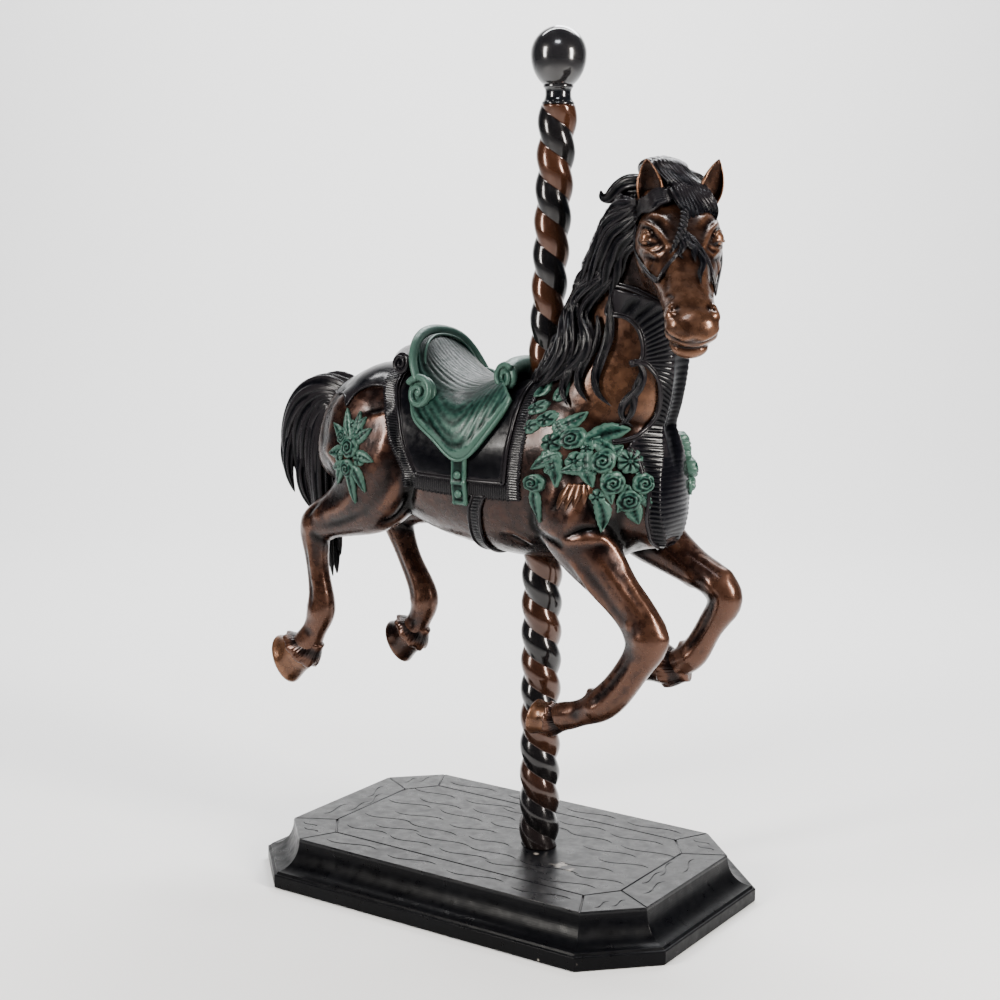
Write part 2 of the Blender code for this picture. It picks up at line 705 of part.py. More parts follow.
def build_horse(collection, cutters, material):
    """One casting: overlapping shapes fused, eased and thinned, with a pocket for each length of pole."""
    shapes = [torso_shape(), neck_shape(), girth_shape(), collar_shape()]
    shapes += head_shapes() + leg_shapes() + mane_shapes() + tail_shapes()
    shapes += saddle_shapes() + flower_shapes()
    horse = new_object("horse", gathered(shapes), collection, material)
    fuse = horse.modifiers.new("fuse", "REMESH")
    fuse.mode = "VOXEL"
    fuse.voxel_size = REMESH_VOXEL
    ease = horse.modifiers.new("ease", "SMOOTH")
    ease.factor = 0.5
    ease.iterations = 3
    fused = horse.evaluated_get(bpy.context.evaluated_depsgraph_get()).data
    thin = horse.modifiers.new("thin", "DECIMATE")
    thin.ratio = HORSE_TRIANGLES / (2 * len(fused.polygons))
    lower_ends = (POLE_X, 0, LOWER_POCKET_Z), (POLE_X, 0, LOWER_TOP_Z + FIT_GAP)
    upper_ends = pole_spot(UPPER_FOOT_Z - POCKET_SINK), pole_spot(UPPER_POCKET_Z)
    for cutter in (
        pocket_cutter("lower_pocket", *lower_ends, LOWER_RADIUS + LOWER_POCKET_PLAY, cutters),
        pocket_cutter("upper_pocket", *upper_ends, UPPER_FOOT_RADIUS + UPPER_POCKET_PLAY, cutters),
    ):
        pocket = horse.modifiers.new(cutter.name, "BOOLEAN")
        pocket.operation = "DIFFERENCE"
        pocket.object = cutter
        pocket.solver = "EXACT"
    return horse


# Base, poles and finial


def cut_corner_ring(inset, z):
    """The base's eight-cornered outline, drawn in by inset on every edge."""
    a, b = BASE_HALF_LENGTH - inset, BASE_HALF_WIDTH - inset
    c = BASE_CORNER_CUT - inset * (2 - math.sqrt(2))
    quarter = ((a, b - c), (a - c, b))
    ring = []
    for sx, sy in ((1, 1), (-1, 1), (-1, -1), (1, -1)):
        pair = quarter if sx * sy > 0 else quarter[::-1]
        ring += [(sx * x, sy * y, z) for x, y in pair]
    return ring


def build_base(collection, material):
    """A low tier, a bead and a cove that rises to the flat top."""
    levels = [(0.0025, 0.0), (0.0, 0.003), (0.0, BASE_TIER_HEIGHT), (0.005, BASE_TIER_HEIGHT + 0.002)]
    foot = BASE_TIER_HEIGHT + 0.007
    rise = BASE_HEIGHT - 0.005 - foot
    for step in range(BASE_COVE_STEPS + 1):
        t = step / BASE_COVE_STEPS * math.pi / 2
        inset = BASE_BEAD_INSET + (BASE_TOP_INSET - BASE_BEAD_INSET) * math.sin(t)
        levels.append((inset, foot + rise * (1 - math.cos(t))))
    levels.append((BASE_TOP_INSET + 0.002, BASE_HEIGHT))
    rings = [cut_corner_ring(inset, z) for inset, z in levels]
    return new_object("base", closed_rings(rings), collection, material)


def twist_section(radius, around):
    """Distance from the axis to a pair of strands, two overlapping circles, at an angle from their line."""
    offset = radius * STRAND_OFFSET_SHARE
    strand = radius - offset
    return offset * np.abs(np.cos(around)) + np.sqrt(strand**2 - (offset * np.sin(around)) ** 2)


def twisted_pole(low, high, notch_z, half_pitch, radius_at, spot):
    """A pole of two strands that make half a turn in each half pitch, from height low to high."""
    count = int(round((high - low) / half_pitch * TWIST_STEPS)) + 1
    around = np.linspace(0, 2 * math.pi, TWIST_SIDES, endpoint=False)
    rings = []
    for z in np.linspace(low, high, count):
        turn = NOTCH_BEARING + math.pi / 2 - math.pi * (z - notch_z) / half_pitch
        r = twist_section(radius_at(z), around)
        flat = np.stack([r * np.cos(turn + around), r * np.sin(turn + around), np.zeros_like(r)], axis=1)
        rings.append(flat + spot(z))
    return closed_rings(rings)


def build_poles(collection, material):
    def lower_spot(z):
        return np.array([POLE_X, 0.0, z])

    def lower_radius(z):
        return LOWER_RADIUS

    def upper_radius(z):
        return np.interp(z, (UPPER_FOOT_Z, UPPER_TOP_Z), (UPPER_FOOT_RADIUS, UPPER_TOP_RADIUS))

    foot = BASE_HEIGHT + FIT_GAP
    lower = twisted_pole(foot, LOWER_TOP_Z, LOWER_NOTCH_Z, LOWER_HALF_PITCH, lower_radius, lower_spot)
    upper = twisted_pole(UPPER_FOOT_Z, UPPER_TOP_Z, UPPER_NOTCH_Z, UPPER_HALF_PITCH, upper_radius, pole_spot)
    for name, shape in (("pole_lower", lower), ("pole_upper", upper)):
        new_object(name, shape, collection, material).data.shade_smooth()


def build_finial(collection, material):
    """The turned ball on its waisted neck, a profile carried round by a Screw modifier.

    The ball is a half circle above its widest line and half of a taller oval below it.
    """
    foot, neck, ring = FINIAL_FOOT_RADIUS, FINIAL_NECK_RADIUS, FINIAL_RING_RADIUS
    ball_z = TOTAL_HEIGHT - BALL_RADIUS - UPPER_TOP_Z - FIT_GAP
    profile = [(0.0, 0.0), (foot * 0.94, 0.0), (foot, 0.002), (foot * 0.95, 0.005)]
    profile += [(neck * 1.10, 0.013), (neck, 0.021), (neck * 1.04, 0.031), (ring, 0.035), (ring, 0.040)]
    start = -math.acos(ring * 0.95 / BALL_RADIUS)
    steps = 13
    for step in range(steps):
        t = start + (math.pi / 2 - start) * step / steps
        drop = BALL_DROP if t < 0 else BALL_RADIUS
        profile.append((BALL_RADIUS * math.cos(t), ball_z + drop * math.sin(t)))
    profile.append((0.0, ball_z + BALL_RADIUS))
    profile.reverse()
    mesh = bpy.data.meshes.new("finial")
    mesh.from_pydata([(x, 0, z) for x, z in profile], [(i, i + 1) for i in range(len(profile) - 1)], [])
    mesh.materials.append(material)
    finial = bpy.data.objects.new("finial", mesh)
    collection.objects.link(finial)
    finial.location = Vector(pole_spot(UPPER_TOP_Z)) + Vector((0, 0, FIT_GAP))
    turned = finial.modifiers.new("turned", "SCREW")
    turned.steps = turned.render_steps = 18
    turned.use_merge_vertices = True
    turned.merge_threshold = 0.0001
    turned.use_smooth_shade = True
    return finial


def main():
    clear_scene()
    figure = new_collection("carousel_horse")
    cutters = new_collection("cutters", hidden=True)
    bronze = new_material("brown_bronze", (0.085, 0.035, 0.018), 0.32, 0.75)
    black = new_material("black_bronze", (0.012, 0.012, 0.014), 0.30, 0.70)
    twist = new_material("pole_bronze", (0.050, 0.022, 0.014), 0.28, 0.75)
    build_base(figure, black)
    build_poles(figure, twist)
    build_finial(figure, black)
    build_horse(figure, cutters, bronze)


main()
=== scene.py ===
# The looks of the bronze carousel horse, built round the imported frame.
# The horse faces +X, its left is +Y and the floor is z = 0. Lengths are metres, and millimetres in the long
# tables.
import math

import bpy
import numpy as np
from mathutils import Matrix, Vector


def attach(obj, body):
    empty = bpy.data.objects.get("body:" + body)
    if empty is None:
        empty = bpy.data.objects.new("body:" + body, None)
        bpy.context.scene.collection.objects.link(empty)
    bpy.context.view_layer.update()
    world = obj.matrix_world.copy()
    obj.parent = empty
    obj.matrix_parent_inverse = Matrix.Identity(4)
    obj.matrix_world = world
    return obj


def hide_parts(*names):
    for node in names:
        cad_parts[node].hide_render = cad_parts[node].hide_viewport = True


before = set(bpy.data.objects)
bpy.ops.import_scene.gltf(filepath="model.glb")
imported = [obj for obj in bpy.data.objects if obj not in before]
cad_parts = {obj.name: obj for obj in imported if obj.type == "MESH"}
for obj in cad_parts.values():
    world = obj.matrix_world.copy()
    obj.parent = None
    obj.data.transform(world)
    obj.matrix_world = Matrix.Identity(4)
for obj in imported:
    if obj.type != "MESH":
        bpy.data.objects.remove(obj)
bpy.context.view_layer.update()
near = -1  # the sign of y on the side that the camera sees
far = 1
tau = 2 * math.pi


def metres(table):
    # a table of millimetres, tuples within tuples, with every number over a thousand
    return tuple(map(metres, table)) if isinstance(table, tuple) else table / 1000


# Curves


def fullTurn(count):
    # angles of a whole turn in even steps
    return np.linspace(0, tau, count, endpoint=False)


def unit(vectors):
    # each vector over its own length
    return vectors / np.maximum(np.linalg.norm(vectors, axis=-1, keepdims=True), 1e-9)


def smoothRows(rows, count):
    # Natural cubic through the rows, spaced by the distance between their first three numbers: in a gap, the
    # share left a times the row before, plus the share done b times the row after, plus a sixth of the gap
    # squared times (a cubed less a) and (b cubed less b) of the bends at its ends
    rows = np.asarray(rows, float)
    steps = np.linalg.norm(np.diff(rows[:, :3], axis=0), axis=1)
    knots = np.concatenate([[0.0], np.cumsum(np.maximum(steps, 1e-5))])
    last = len(rows) - 1
    gaps = np.diff(knots)
    system = np.eye(last + 1)
    rise = np.zeros_like(rows)
    for i in range(1, last):
        system[i, i - 1 : i + 2] = gaps[i - 1], 2 * (gaps[i - 1] + gaps[i]), gaps[i]
        rise[i] = 6 * ((rows[i + 1] - rows[i]) / gaps[i] - (rows[i] - rows[i - 1]) / gaps[i - 1])
    bend = np.linalg.solve(system, rise)
    where = np.linspace(0, knots[-1], count)
    span = np.clip(np.searchsorted(knots, where, side="right") - 1, 0, last - 1)
    a = ((knots[span + 1] - where) / gaps[span])[:, None]
    b = 1 - a
    cubic = (a**3 - a) * bend[span] + (b**3 - b) * bend[span + 1]
    return a * rows[span] + b * rows[span + 1] + cubic * (gaps[span] ** 2)[:, None] / 6


def eased(low, high, x):
    # smooth step: 0 below low, 1 above high, three t squared less two t cubed between
    t = np.clip((np.asarray(x, float) - low) / (high - low), 0, 1)
    return t * t * (3 - 2 * t)


def powerWave(wave, power):
    # sign times size to the two over power: 2 gives an oval, more gives a squarer one
    return np.sign(wave) * np.abs(wave) ** (2.0 / power)


# Shapes. A shape has points, quads, tris and marks: three numbers for the grain of a lock, and a tint


def shapeOf(points, quads, tris=(), marks=None, tint=0.0):
    # the parts in one dictionary, turned inside out where the signed volume is below nought
    points = np.asarray(points, float).reshape(-1, 3)
    quads = np.asarray(quads, int).reshape(-1, 4)
    tris = np.asarray(tris, int).reshape(-1, 3)
    both = np.concatenate([quads[:, (0, 1, 2)], quads[:, (0, 2, 3)], tris])
    a, b, c = (points[both[:, k]] for k in range(3))
    if np.einsum("ij,ij->", a - points.mean(0), np.cross(b - a, c - a)) < 0:
        quads = quads[:, ::-1]
        tris = tris[:, ::-1]
    if marks is None:
        marks = np.zeros((len(points), 4))
        marks[:, 3] = tint
    marks = np.asarray(marks, float).reshape(-1, 4)
    return {"points": points, "quads": quads, "tris": tris, "marks": marks}


def tube(rings, marks=None, tint=0.0):
    # quads between neighbouring rings, and a fan from each end ring to its middle
    rings = np.asarray(rings, float)
    count, sides, _ = rings.shape
    i = np.arange(count - 1)[:, None] * sides
    j = np.arange(sides)[None]
    k = (j + 1) % sides
    quads = np.stack([i + j, i + k, i + sides + k, i + sides + j], axis=2)
    first = count * sides
    top = (count - 1) * sides
    fans = [np.stack([np.full(sides, first), k[0], j[0]], axis=1)]
    fans.append(np.stack([np.full(sides, first + 1), top + j[0], top + k[0]], axis=1))
    points = np.concatenate([rings.reshape(-1, 3), rings[0].mean(0)[None], rings[-1].mean(0)[None]])
    if marks is not None:
        marks = np.concatenate([marks.reshape(-1, 4), marks[0].mean(0)[None], marks[-1].mean(0)[None]])
    return shapeOf(points, quads, np.concatenate(fans), marks, tint)


def ring(rings):
    # a tube whose last ring joins its first
    rings = np.asarray(rings, float)
    count, sides, _ = rings.shape
    i = np.arange(count)[:, None] * sides
    n = (np.arange(count)[:, None] + 1) % count * sides
    j = np.arange(sides)[None]
    k = (j + 1) % sides
    return shapeOf(rings, np.stack([i + j, i + k, n + k, n + j], axis=2))


def slab(outer, inner):
    # two equal grids, one the skin and one the lining, joined round their border
    rows, columns, _ = outer.shape
    total = rows * columns
    number = np.arange(total).reshape(rows, columns)
    corners = number[:-1, :-1], number[:-1, 1:], number[1:, 1:], number[1:, :-1]
    top = np.stack(corners, axis=2).reshape(-1, 4)
    border = np.concatenate([number[0], number[1:, -1], number[-1, -2::-1], number[-2:0:-1, 0]])
    ahead = np.roll(border, -1)
    walls = np.stack([ahead, border, border + total, ahead + total], axis=1)
    points = np.concatenate([outer.reshape(-1, 3), inner.reshape(-1, 3)])
    return shapeOf(points, np.concatenate([top, top[:, ::-1] + total, walls]))


def joined(shapes):
    # every shape's lists end to end, with its face numbers moved on
    starts = np.cumsum([0] + [len(shape["points"]) for shape in shapes])
    whole = {name: np.concatenate([shape[name] for shape in shapes]) for name in ("points", "marks")}
    for name in ("quads", "tris"):
        whole[name] = np.concatenate([shape[name] + start for shape, start in zip(shapes, starts)])
    return whole


def loft(stations, rings, sides, power):
    # Rings along stations of x, y, z, half width, height above and height below, spaced by the cubic. Round
    # a ring the width is a power wave of the cosine and the height one of the sine
    rows = smoothRows(stations, rings)
    size = np.maximum(rows[:, 3:6], 0.002)
    run = unit(np.gradient(rows[:, :3], axis=0))
    side = unit(np.array((0, 1.0, 0)) - run * run[:, 1:2])
    above = np.cross(run, side)
    turn = fullTurn(sides)
    tall = powerWave(np.sin(turn), power)
    height = np.where(tall[None] > 0, size[:, 1:2], size[:, 2:3]) * tall[None]
    width = size[:, 0:1] * powerWave(np.cos(turn), power)[None]
    return tube(rows[:, None, :3] + side[:, None] * width[..., None] + above[:, None] * height[..., None])


def mirrorPair(path):
    # the path and its mirror image in the plane y = 0
    return np.array(path), np.array(path) * (1, -1, 1)


def carried(path, facing, outline):
    # an outline of (sideways, upwards) pairs carried along a path, up being the facing made square to it
    path = np.asarray(path, float)
    facing = np.broadcast_to(np.asarray(facing, float), path.shape)
    run = unit(np.gradient(path, axis=0))
    up = unit(facing - run * np.sum(facing * run, axis=1, keepdims=True))
    side = np.cross(up, run)
    outline = np.broadcast_to(outline, (len(path),) + np.shape(outline)[-2:])
    return path[:, None] + side[:, None] * outline[..., 0:1] + up[:, None] * outline[..., 1:2]


def circle(sides, radius=1.0):
    # a round outline: the radius times the cosine and the sine
    turn = fullTurn(sides)
    return np.stack([radius * np.cos(turn), radius * np.sin(turn)], axis=1)


def cord(path, out, radius, sides=8):
    # a round outline carried along the path
    return tube(carried(path, out, circle(sides, radius)))


def bar(points, radius, facing, count, sides):
    # a round bar through the points, its radius one number or one for each point
    rows = np.column_stack([np.asarray(points, float), np.broadcast_to(radius, (len(points),))])
    path = smoothRows(rows, count) if len(rows) > 2 else rows
    return tube(carried(path[:, :3], facing, circle(sides) * path[:, 3:4, None]))


def ball(centre, radii, sides):
    # rings from pole to pole: radius the cosine of the latitude, height its sine
    rise = np.linspace(-1.54, 1.54, sides // 2)
    turn = fullTurn(sides)
    wide = np.cos(rise)[:, None]
    rings = np.stack([wide * np.cos(turn), wide * np.sin(turn), np.sin(rise)[:, None] + 0 * turn], axis=2)
    return tube(rings * np.asarray(radii, float) + np.asarray(centre, float))


def turned(profile, sides, centre):
    # rows of radius and height turned about the upright axis through the centre
    turn = fullTurn(sides)
    r = np.maximum(profile[:, 0:1], 1e-4)
    rings = np.stack([r * np.cos(turn), r * np.sin(turn), profile[:, 1:2] + 0 * turn], axis=2)
    return tube(rings + centre)


def lock(points, facing, wide, thick, strands, groove, twist, rings, sides, root, tint=0.0, wave=0.0):
    # A lock of hair: its swell is the sine of (root .. 0.995) half turns to the power 0.7, and its outline
    # an oval cut by as many grooves as strands, each a sine's size below the rim, turning along the lock;
    # the wave sways the path sideways by two beats of a sine
    path = smoothRows(points, rings)[:, :3]
    share = np.linspace(0, 1, rings)
    if wave:
        aside = unit(np.cross(facing, unit(np.gradient(path, axis=0))))
        path = path + aside * (wave * np.sin(2.1 * tau * share + 40 * wide) * np.sqrt(share))[:, None]
    turn = fullTurn(sides)
    swell = np.sin(math.pi * (root + (0.995 - root) * share)) ** 0.7
    comb = np.abs(np.sin(strands * turn[None] / 2 + twist * share[:, None] * math.pi + 1.7 * strands))
    r = (1 - groove * (1 - comb**0.8)) * swell[:, None]
    outline = np.stack([wide * np.cos(turn) * r, thick * np.sin(turn) * r], axis=2)
    length = np.concatenate([[0], np.cumsum(np.linalg.norm(np.diff(path, axis=0), axis=1))])
    around = turn[None] + twist * share[:, None] * math.pi / max(strands, 1)
    marks = [value + 0 * r for value in (np.cos(around), np.sin(around), length[:, None], tint)]
    return tube(carried(path, facing, outline), np.stack(marks, axis=2))


# Meshes


def linked(name, data):
    # an object of the mesh, lamp or camera, put in the scene
    obj = bpy.data.objects.new(name, data)
    bpy.context.scene.collection.objects.link(obj)
    return obj


def setMark(mesh, name, kind, values):
    # a number or a vector for every point, kept on the mesh
    mark = mesh.attributes.new(name, kind, "POINT")
    mark.data.foreach_set("value" if kind == "FLOAT" else "vector", values.astype(np.float32).ravel())


def meshOf(name, shape):
    # the arrays poured into a mesh, with grain, tint and any wear and painted shade as point attributes
    mesh = bpy.data.meshes.new(name)
    points = shape["points"]
    quads = shape["quads"]
    tris = shape["tris"]
    mesh.vertices.add(len(points))
    mesh.vertices.foreach_set("co", points.astype(np.float32).ravel())
    mesh.loops.add(quads.size + tris.size)
    mesh.loops.foreach_set("vertex_index", np.concatenate([quads.ravel(), tris.ravel()]).astype(np.int32))
    mesh.polygons.add(len(quads) + len(tris))
    starts = np.concatenate([np.arange(len(quads)) * 4, quads.size + np.arange(len(tris)) * 3])
    mesh.polygons.foreach_set("loop_start", starts.astype(np.int32))
    mesh.update(calc_edges=True)
    setMark(mesh, "grain", "FLOAT_VECTOR", shape["marks"][:, :3])
    setMark(mesh, "tint", "FLOAT", shape["marks"][:, 3])
    if "wearAndShade" in shape:
        setMark(mesh, "wearAndShade", "FLOAT", shape["wearAndShade"])
    mesh.shade_smooth()
    return mesh


def addPiece(name, mesh, material, replaced):
    # the mesh as an object that rides on the frame and stands for a CAD node
    mesh.materials.clear()
    mesh.materials.append(material)
    piece = linked(name, mesh)
    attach(piece, "root")
    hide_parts(replaced)
    print("piece", name, "triangles", len(mesh.loops) - 2 * len(mesh.polygons))


def addWornAndShaded(name, shape, reach, rounds, material, slot, replaced):
    # the same for a shape, once its wear and painted shade are worked out
    addPiece(name, meshOf(name, wornAndShaded(shape, reach, rounds)), material, replaced)


def applied(obj):
    # the mesh with its modifiers worked out, read back as arrays, the object taken away
    depsgraph = bpy.context.evaluated_depsgraph_get()
    mesh = bpy.data.meshes.new_from_object(obj.evaluated_get(depsgraph))
    points = np.zeros(len(mesh.vertices) * 3, np.float32)
    mesh.vertices.foreach_get("co", points)
    corners = np.zeros(len(mesh.loops), np.int32)
    mesh.loops.foreach_get("vertex_index", corners)
    starts = np.zeros(len(mesh.polygons), np.int32)
    mesh.polygons.foreach_get("loop_start", starts)
    sizes = np.zeros(len(mesh.polygons), np.int32)
    mesh.polygons.foreach_get("loop_total", sizes)
    quads = corners[starts[sizes == 4][:, None] + np.arange(4)]
    tris = corners[starts[sizes == 3][:, None] + np.arange(3)]
    bpy.data.objects.remove(obj, do_unlink=True)
    bpy.data.meshes.remove(mesh)
    return shapeOf(points.reshape(-1, 3), quads, tris)


def fused(shapes, voxel, easing):
    # overlapping shapes made one skin of small squares, then eased
    obj = linked("fusing", meshOf("fusing", joined(shapes)))
    remesh = obj.modifiers.new("fuse", "REMESH")
    remesh.mode = "VOXEL"
    remesh.voxel_size = voxel
    ease = obj.modifiers.new("ease", "SMOOTH")
    ease.factor = 0.5
    ease.iterations = easing
    return applied(obj)


def pointNormals(shape):
    # the sum of the faces' cross products at each point, over its length
    points = shape["points"]
    faces = np.concatenate([shape["quads"][:, (0, 1, 2)], shape["quads"][:, (0, 2, 3)], shape["tris"]])
    a, b, c = (points[faces[:, k]] for k in range(3))
    cross = np.cross(b - a, c - a)
    total = np.zeros_like(points)
    for k in range(3):
        for axis in range(3):
            total[:, axis] += np.bincount(faces[:, k], cross[:, axis], len(points))
    return unit(total)


def evened(shape, values, rounds):
    # each value swapped for the mean of its neighbours', as many times as rounds
    quads = shape["quads"]
    tris = shape["tris"]
    pairs = [quads[:, (k, (k + 1) % 4)] for k in range(4)] + [tris[:, (k, (k + 1) % 3)] for k in range(3)]
    pairs = np.concatenate(pairs)
    count = len(shape["points"])
    degree = np.maximum(np.bincount(pairs[:, 0], minlength=count), 1)
    values = np.asarray(values, float).reshape(count, -1)
    for _ in range(rounds):
        sums = [np.bincount(pairs[:, 0], column[pairs[:, 1]], count) for column in values.T]
        values = np.stack(sums, axis=1) / degree[:, None]
    return values


def soften(shape):
    # every point half way to the mean of its neighbours
    shape["points"] = shape["points"] * 0.5 + evened(shape, shape["points"], 1) * 0.5


def wornAndShaded(shape, reach, rounds):
    # wear and painted shade: how far a point stands out of its evened neighbourhood, over the reach, plus a
    # half
    points = shape["points"]
    normals = pointNormals(shape)
    fine = np.sum((points - evened(shape, points, 3)) * normals, axis=1)
    broad = np.sum((points - evened(shape, points, rounds)) * normals, axis=1)
    # low in hollows, where it darkens the colour and dims the shine, partly as painted shade
    wearAndShade = 0.5 + np.clip(fine / (0.25 * reach), -1, 1) * 0.25 + np.clip(broad / reach, -1, 1) * 0.35
    return shape | {"wearAndShade": evened(shape, wearAndShade, 1)[:, 0]}


def brush(shape, normals, path, width, height):
    # Points near the path move along their normals by the height times e to the minus (distance over width)
    # squared, times the root of a sine that falls away at both ends of the path
    path = np.asarray(path, float).reshape(-1, 3)
    fade = np.ones(1)
    if len(path) > 1:
        count = max(int(np.linalg.norm(np.diff(path, axis=0), axis=1).sum() / width * 2.5), 6)
        share = np.linspace(0, 1, count)[:, None]
        path = smoothRows(path, count) if len(path) > 2 else path[0] + (path[1] - path[0]) * share
        fade = np.sin(math.pi * np.linspace(0.04, 0.96, count)) ** 0.5
    points = shape["points"]
    reach = 2.2 * width
    close = np.all((points > path.min(0) - reach) & (points < path.max(0) + reach), axis=1)
    index = np.flatnonzero(close)
    if len(index) == 0:
        return
    away = np.linalg.norm(points[index, None] - path[None], axis=2)
    nearest = away.argmin(axis=1)
    amount = np.exp(-((away[np.arange(len(index)), nearest] / width) ** 2)) * fade[nearest]
    points[index] += normals[index] * (height * amount)[:, None]


print("kit ready")


# Materials. In a look, stops and other are (wear and shade, colour) rows; patches the noise's scale and its
# broad and fine share; rough and shine from and to, the shine's low end a painted shade in hollows; coat the
# weight and roughness; dents the scale, strength and depth


def plug(tree, made, sockets):
    # each named socket of a node takes a value or a link
    for socket, value in dict(sockets).items():
        if isinstance(value, bpy.types.NodeSocket):
            tree.links.new(value, made.inputs[socket])
        else:
            made.inputs[socket].default_value = value
    return made


def node(tree, kind, sockets=(), **settings):
    # a node of that kind, with its settings given by name
    made = tree.nodes.new("ShaderNode" + kind)
    for name, value in settings.items():
        setattr(made, name, value)
    return plug(tree, made, sockets)


def attribute(tree, name, output="Fac"):
    # the output of a node that reads a mark of the mesh
    return node(tree, "Attribute", attribute_name=name).outputs[output]


def noise(tree, place, scale, detail, roughness=0.5):
    # a noise whose patches are about one over the scale wide
    sockets = {"Vector": place, "Scale": scale, "Detail": detail, "Roughness": roughness}
    return node(tree, "TexNoise", sockets).outputs[0]


def mapped(tree, value, low, high, start, end):
    # low to high becomes start to end, in a straight line
    return node(tree, "MapRange", {0: value, 1: low, 2: high, 3: start, 4: end}).outputs[0]


def worked(tree, operation, first, second, clamp=False):
    # one arithmetic step on two inputs, held to 0 .. 1 where clamped
    return node(tree, "Math", {0: first, 1: second}, operation=operation, use_clamp=clamp).outputs[0]


def ramp(tree, factor, stops):
    # a colour ramp through (place, colour) stops
    made = node(tree, "ValToRGB", {0: factor})
    band = made.color_ramp
    while len(band.elements) < len(stops):
        band.elements.new(0.5)
    for element, (place, colour) in zip(band.elements, stops):
        element.position = place
        element.color = (*colour, 1.0)
    return made.outputs[0]


def bronze(name, look):
    # Patina and painted shade worked out from the wear mark: it plus broad and fine noise picks a colour
    # from dark hollows, partly painted shade, to rubbed rims. A tint attribute turns it towards the other
    # stops.
    # Roughness follows a noise, and the shine follows the wear mark, dimmed in the hollows as painted shade
    material = bpy.data.materials.new(name)
    material.use_nodes = True
    tree = material.node_tree
    place = node(tree, "TexCoord").outputs["Object"]
    wearAndShade = attribute(tree, "wearAndShade")
    tint = attribute(tree, "tint")
    scale, patchy, specky = look["patches"]
    speck = noise(tree, place, scale * 9, 3.0)
    broadPart = mapped(tree, noise(tree, place, scale, 4.0, 0.6), 0.3, 0.7, -patchy, patchy)
    speckPart = mapped(tree, speck, 0.3, 0.7, -specky, specky)
    factor = worked(tree, "ADD", wearAndShade, worked(tree, "ADD", broadPart, speckPart))
    # the colour: patina, darker in hollows partly as painted shade
    colour = ramp(tree, factor, look["stops"])
    # pale patches towards the other stops: real chips, and on the base's top a painted sheen
    for centre, reach, strength in look.get("chipsAndSheen", ()):
        away = node(tree, "VectorMath", {0: place, 1: centre}, operation="DISTANCE").outputs["Value"]
        scatter = mapped(tree, speck, 0.3, 0.7, -0.9, 0.9)
        spot = worked(tree, "ADD", mapped(tree, away, 0.0, reach, 1.0, -1.0), scatter, True)
        tint = worked(tree, "MAXIMUM", tint, worked(tree, "MULTIPLY", spot, strength))
    if "other" in look:
        second = ramp(tree, factor, look["other"])
        colour = node(tree, "Mix", {0: tint, 6: colour, 7: second}, data_type="RGBA").outputs[2]
    scale, dent, depth = look["dents"]
    dents = noise(tree, place, scale, 3.0)
    bump = node(tree, "Bump", {"Height": dents, "Strength": dent, "Distance": depth})
    if "grain" in look:
        scale, dent, depth = look["grain"]
        along = node(tree, "Mapping", {"Vector": attribute(tree, "grain", "Vector"), "Scale": scale})
        strands = noise(tree, along.outputs[0], 1.0, 2.0)
        sockets = {"Height": strands, "Strength": dent, "Distance": depth, "Normal": bump.outputs[0]}
        bump = node(tree, "Bump", sockets)
    sockets = {
        "Base Color": colour,
        "Roughness": mapped(tree, speck, 0.35, 0.68, *look["rough"]),
        # the shine, low in hollows: painted shade
        "Specular IOR Level": mapped(tree, wearAndShade, 0.32, 0.68, *look["shineWithHollowShade"]),
        "Metallic": look["metallic"],
        "Coat Weight": look["coat"][0],
        "Coat Roughness": look["coat"][1],
        "Normal": bump.outputs[0],
    }
    plug(tree, tree.nodes["Principled BSDF"], sockets)
    return material


# Base: an eight-cornered plinth with a low tier, a bead, a cove and a flat top engraved with strokes

base = {
    "halfLength": 0.513,
    "halfWidth": 0.331,
    "cornerCut": 0.131,
    "height": 0.1,
    "tier": metres(((3, 0), (0, 3), (0, 29), (1.2, 30.6), (5.5, 31.2))),  # lowest step: inset, height
    "cove": (0.008, 0.057, 0.036, 0.096),  # inset from and to, height from and to
    "coveSteps": 22,
    "rounding": 0.0016,
    # the top's higher value also paints it a little lighter: a painted sheen
    "wearAndShade": (0.38, 0.62),  # the sides' and the top's, which shines more
    "grooveRadius": 0.0029,
    "grooveHeight": 0.1004,
    "frame": ((0.369, 0.128), (0.319, 0.194)),  # two corners of the engraved inner eight-sided line
    # strokes: first place, step from row to row, step along a row, shift of every other row
    "rows": {"x": -0.285, "y": -0.15, "rise": 0.0495, "pitch": 0.132, "stagger": 0.058},
    "seed": 4,
}
baseLook = {
    "stops": (
        (0.25, (0.001, 0.001, 0.0014)),
        (0.62, (0.0024, 0.0026, 0.0036)),
        (0.95, (0.012, 0.011, 0.012)),
    ),
    "other": ((0.3, (0.3, 0.27, 0.24)), (0.7, (0.52, 0.47, 0.42)), (0.9, (0.66, 0.61, 0.56))),
    "patches": (5.0, 0.16, 0.07),
    "rough": (0.27, 0.44),
    "shineWithHollowShade": (0.02, 0.3),
    "metallic": 0.0,
    "coat": (0.025, 0.2),
    "dents": (9.0, 0.3, 0.01),
    # pale chips on the sides, and a painted sheen on the top by the pole: place, reach, strength
    "chipsAndSheen": (
        ((0.392, -0.331, 0.012), 0.013, 1.0),
        ((0.384, -0.326, 0.04), 0.01, 1.0),
        ((0.497, -0.219, 0.036), 0.008, 1.0),
        ((0.3, -0.331, 0.006), 0.006, 1.0),
        # painted sheen on the top, beside the pole
        ((0.188, -0.082, 0.1), 0.03, 0.5),
        ((0.224, -0.092, 0.1), 0.022, 0.4),
        ((0.115, -0.052, 0.1), 0.012, 0.5),
    ),
}


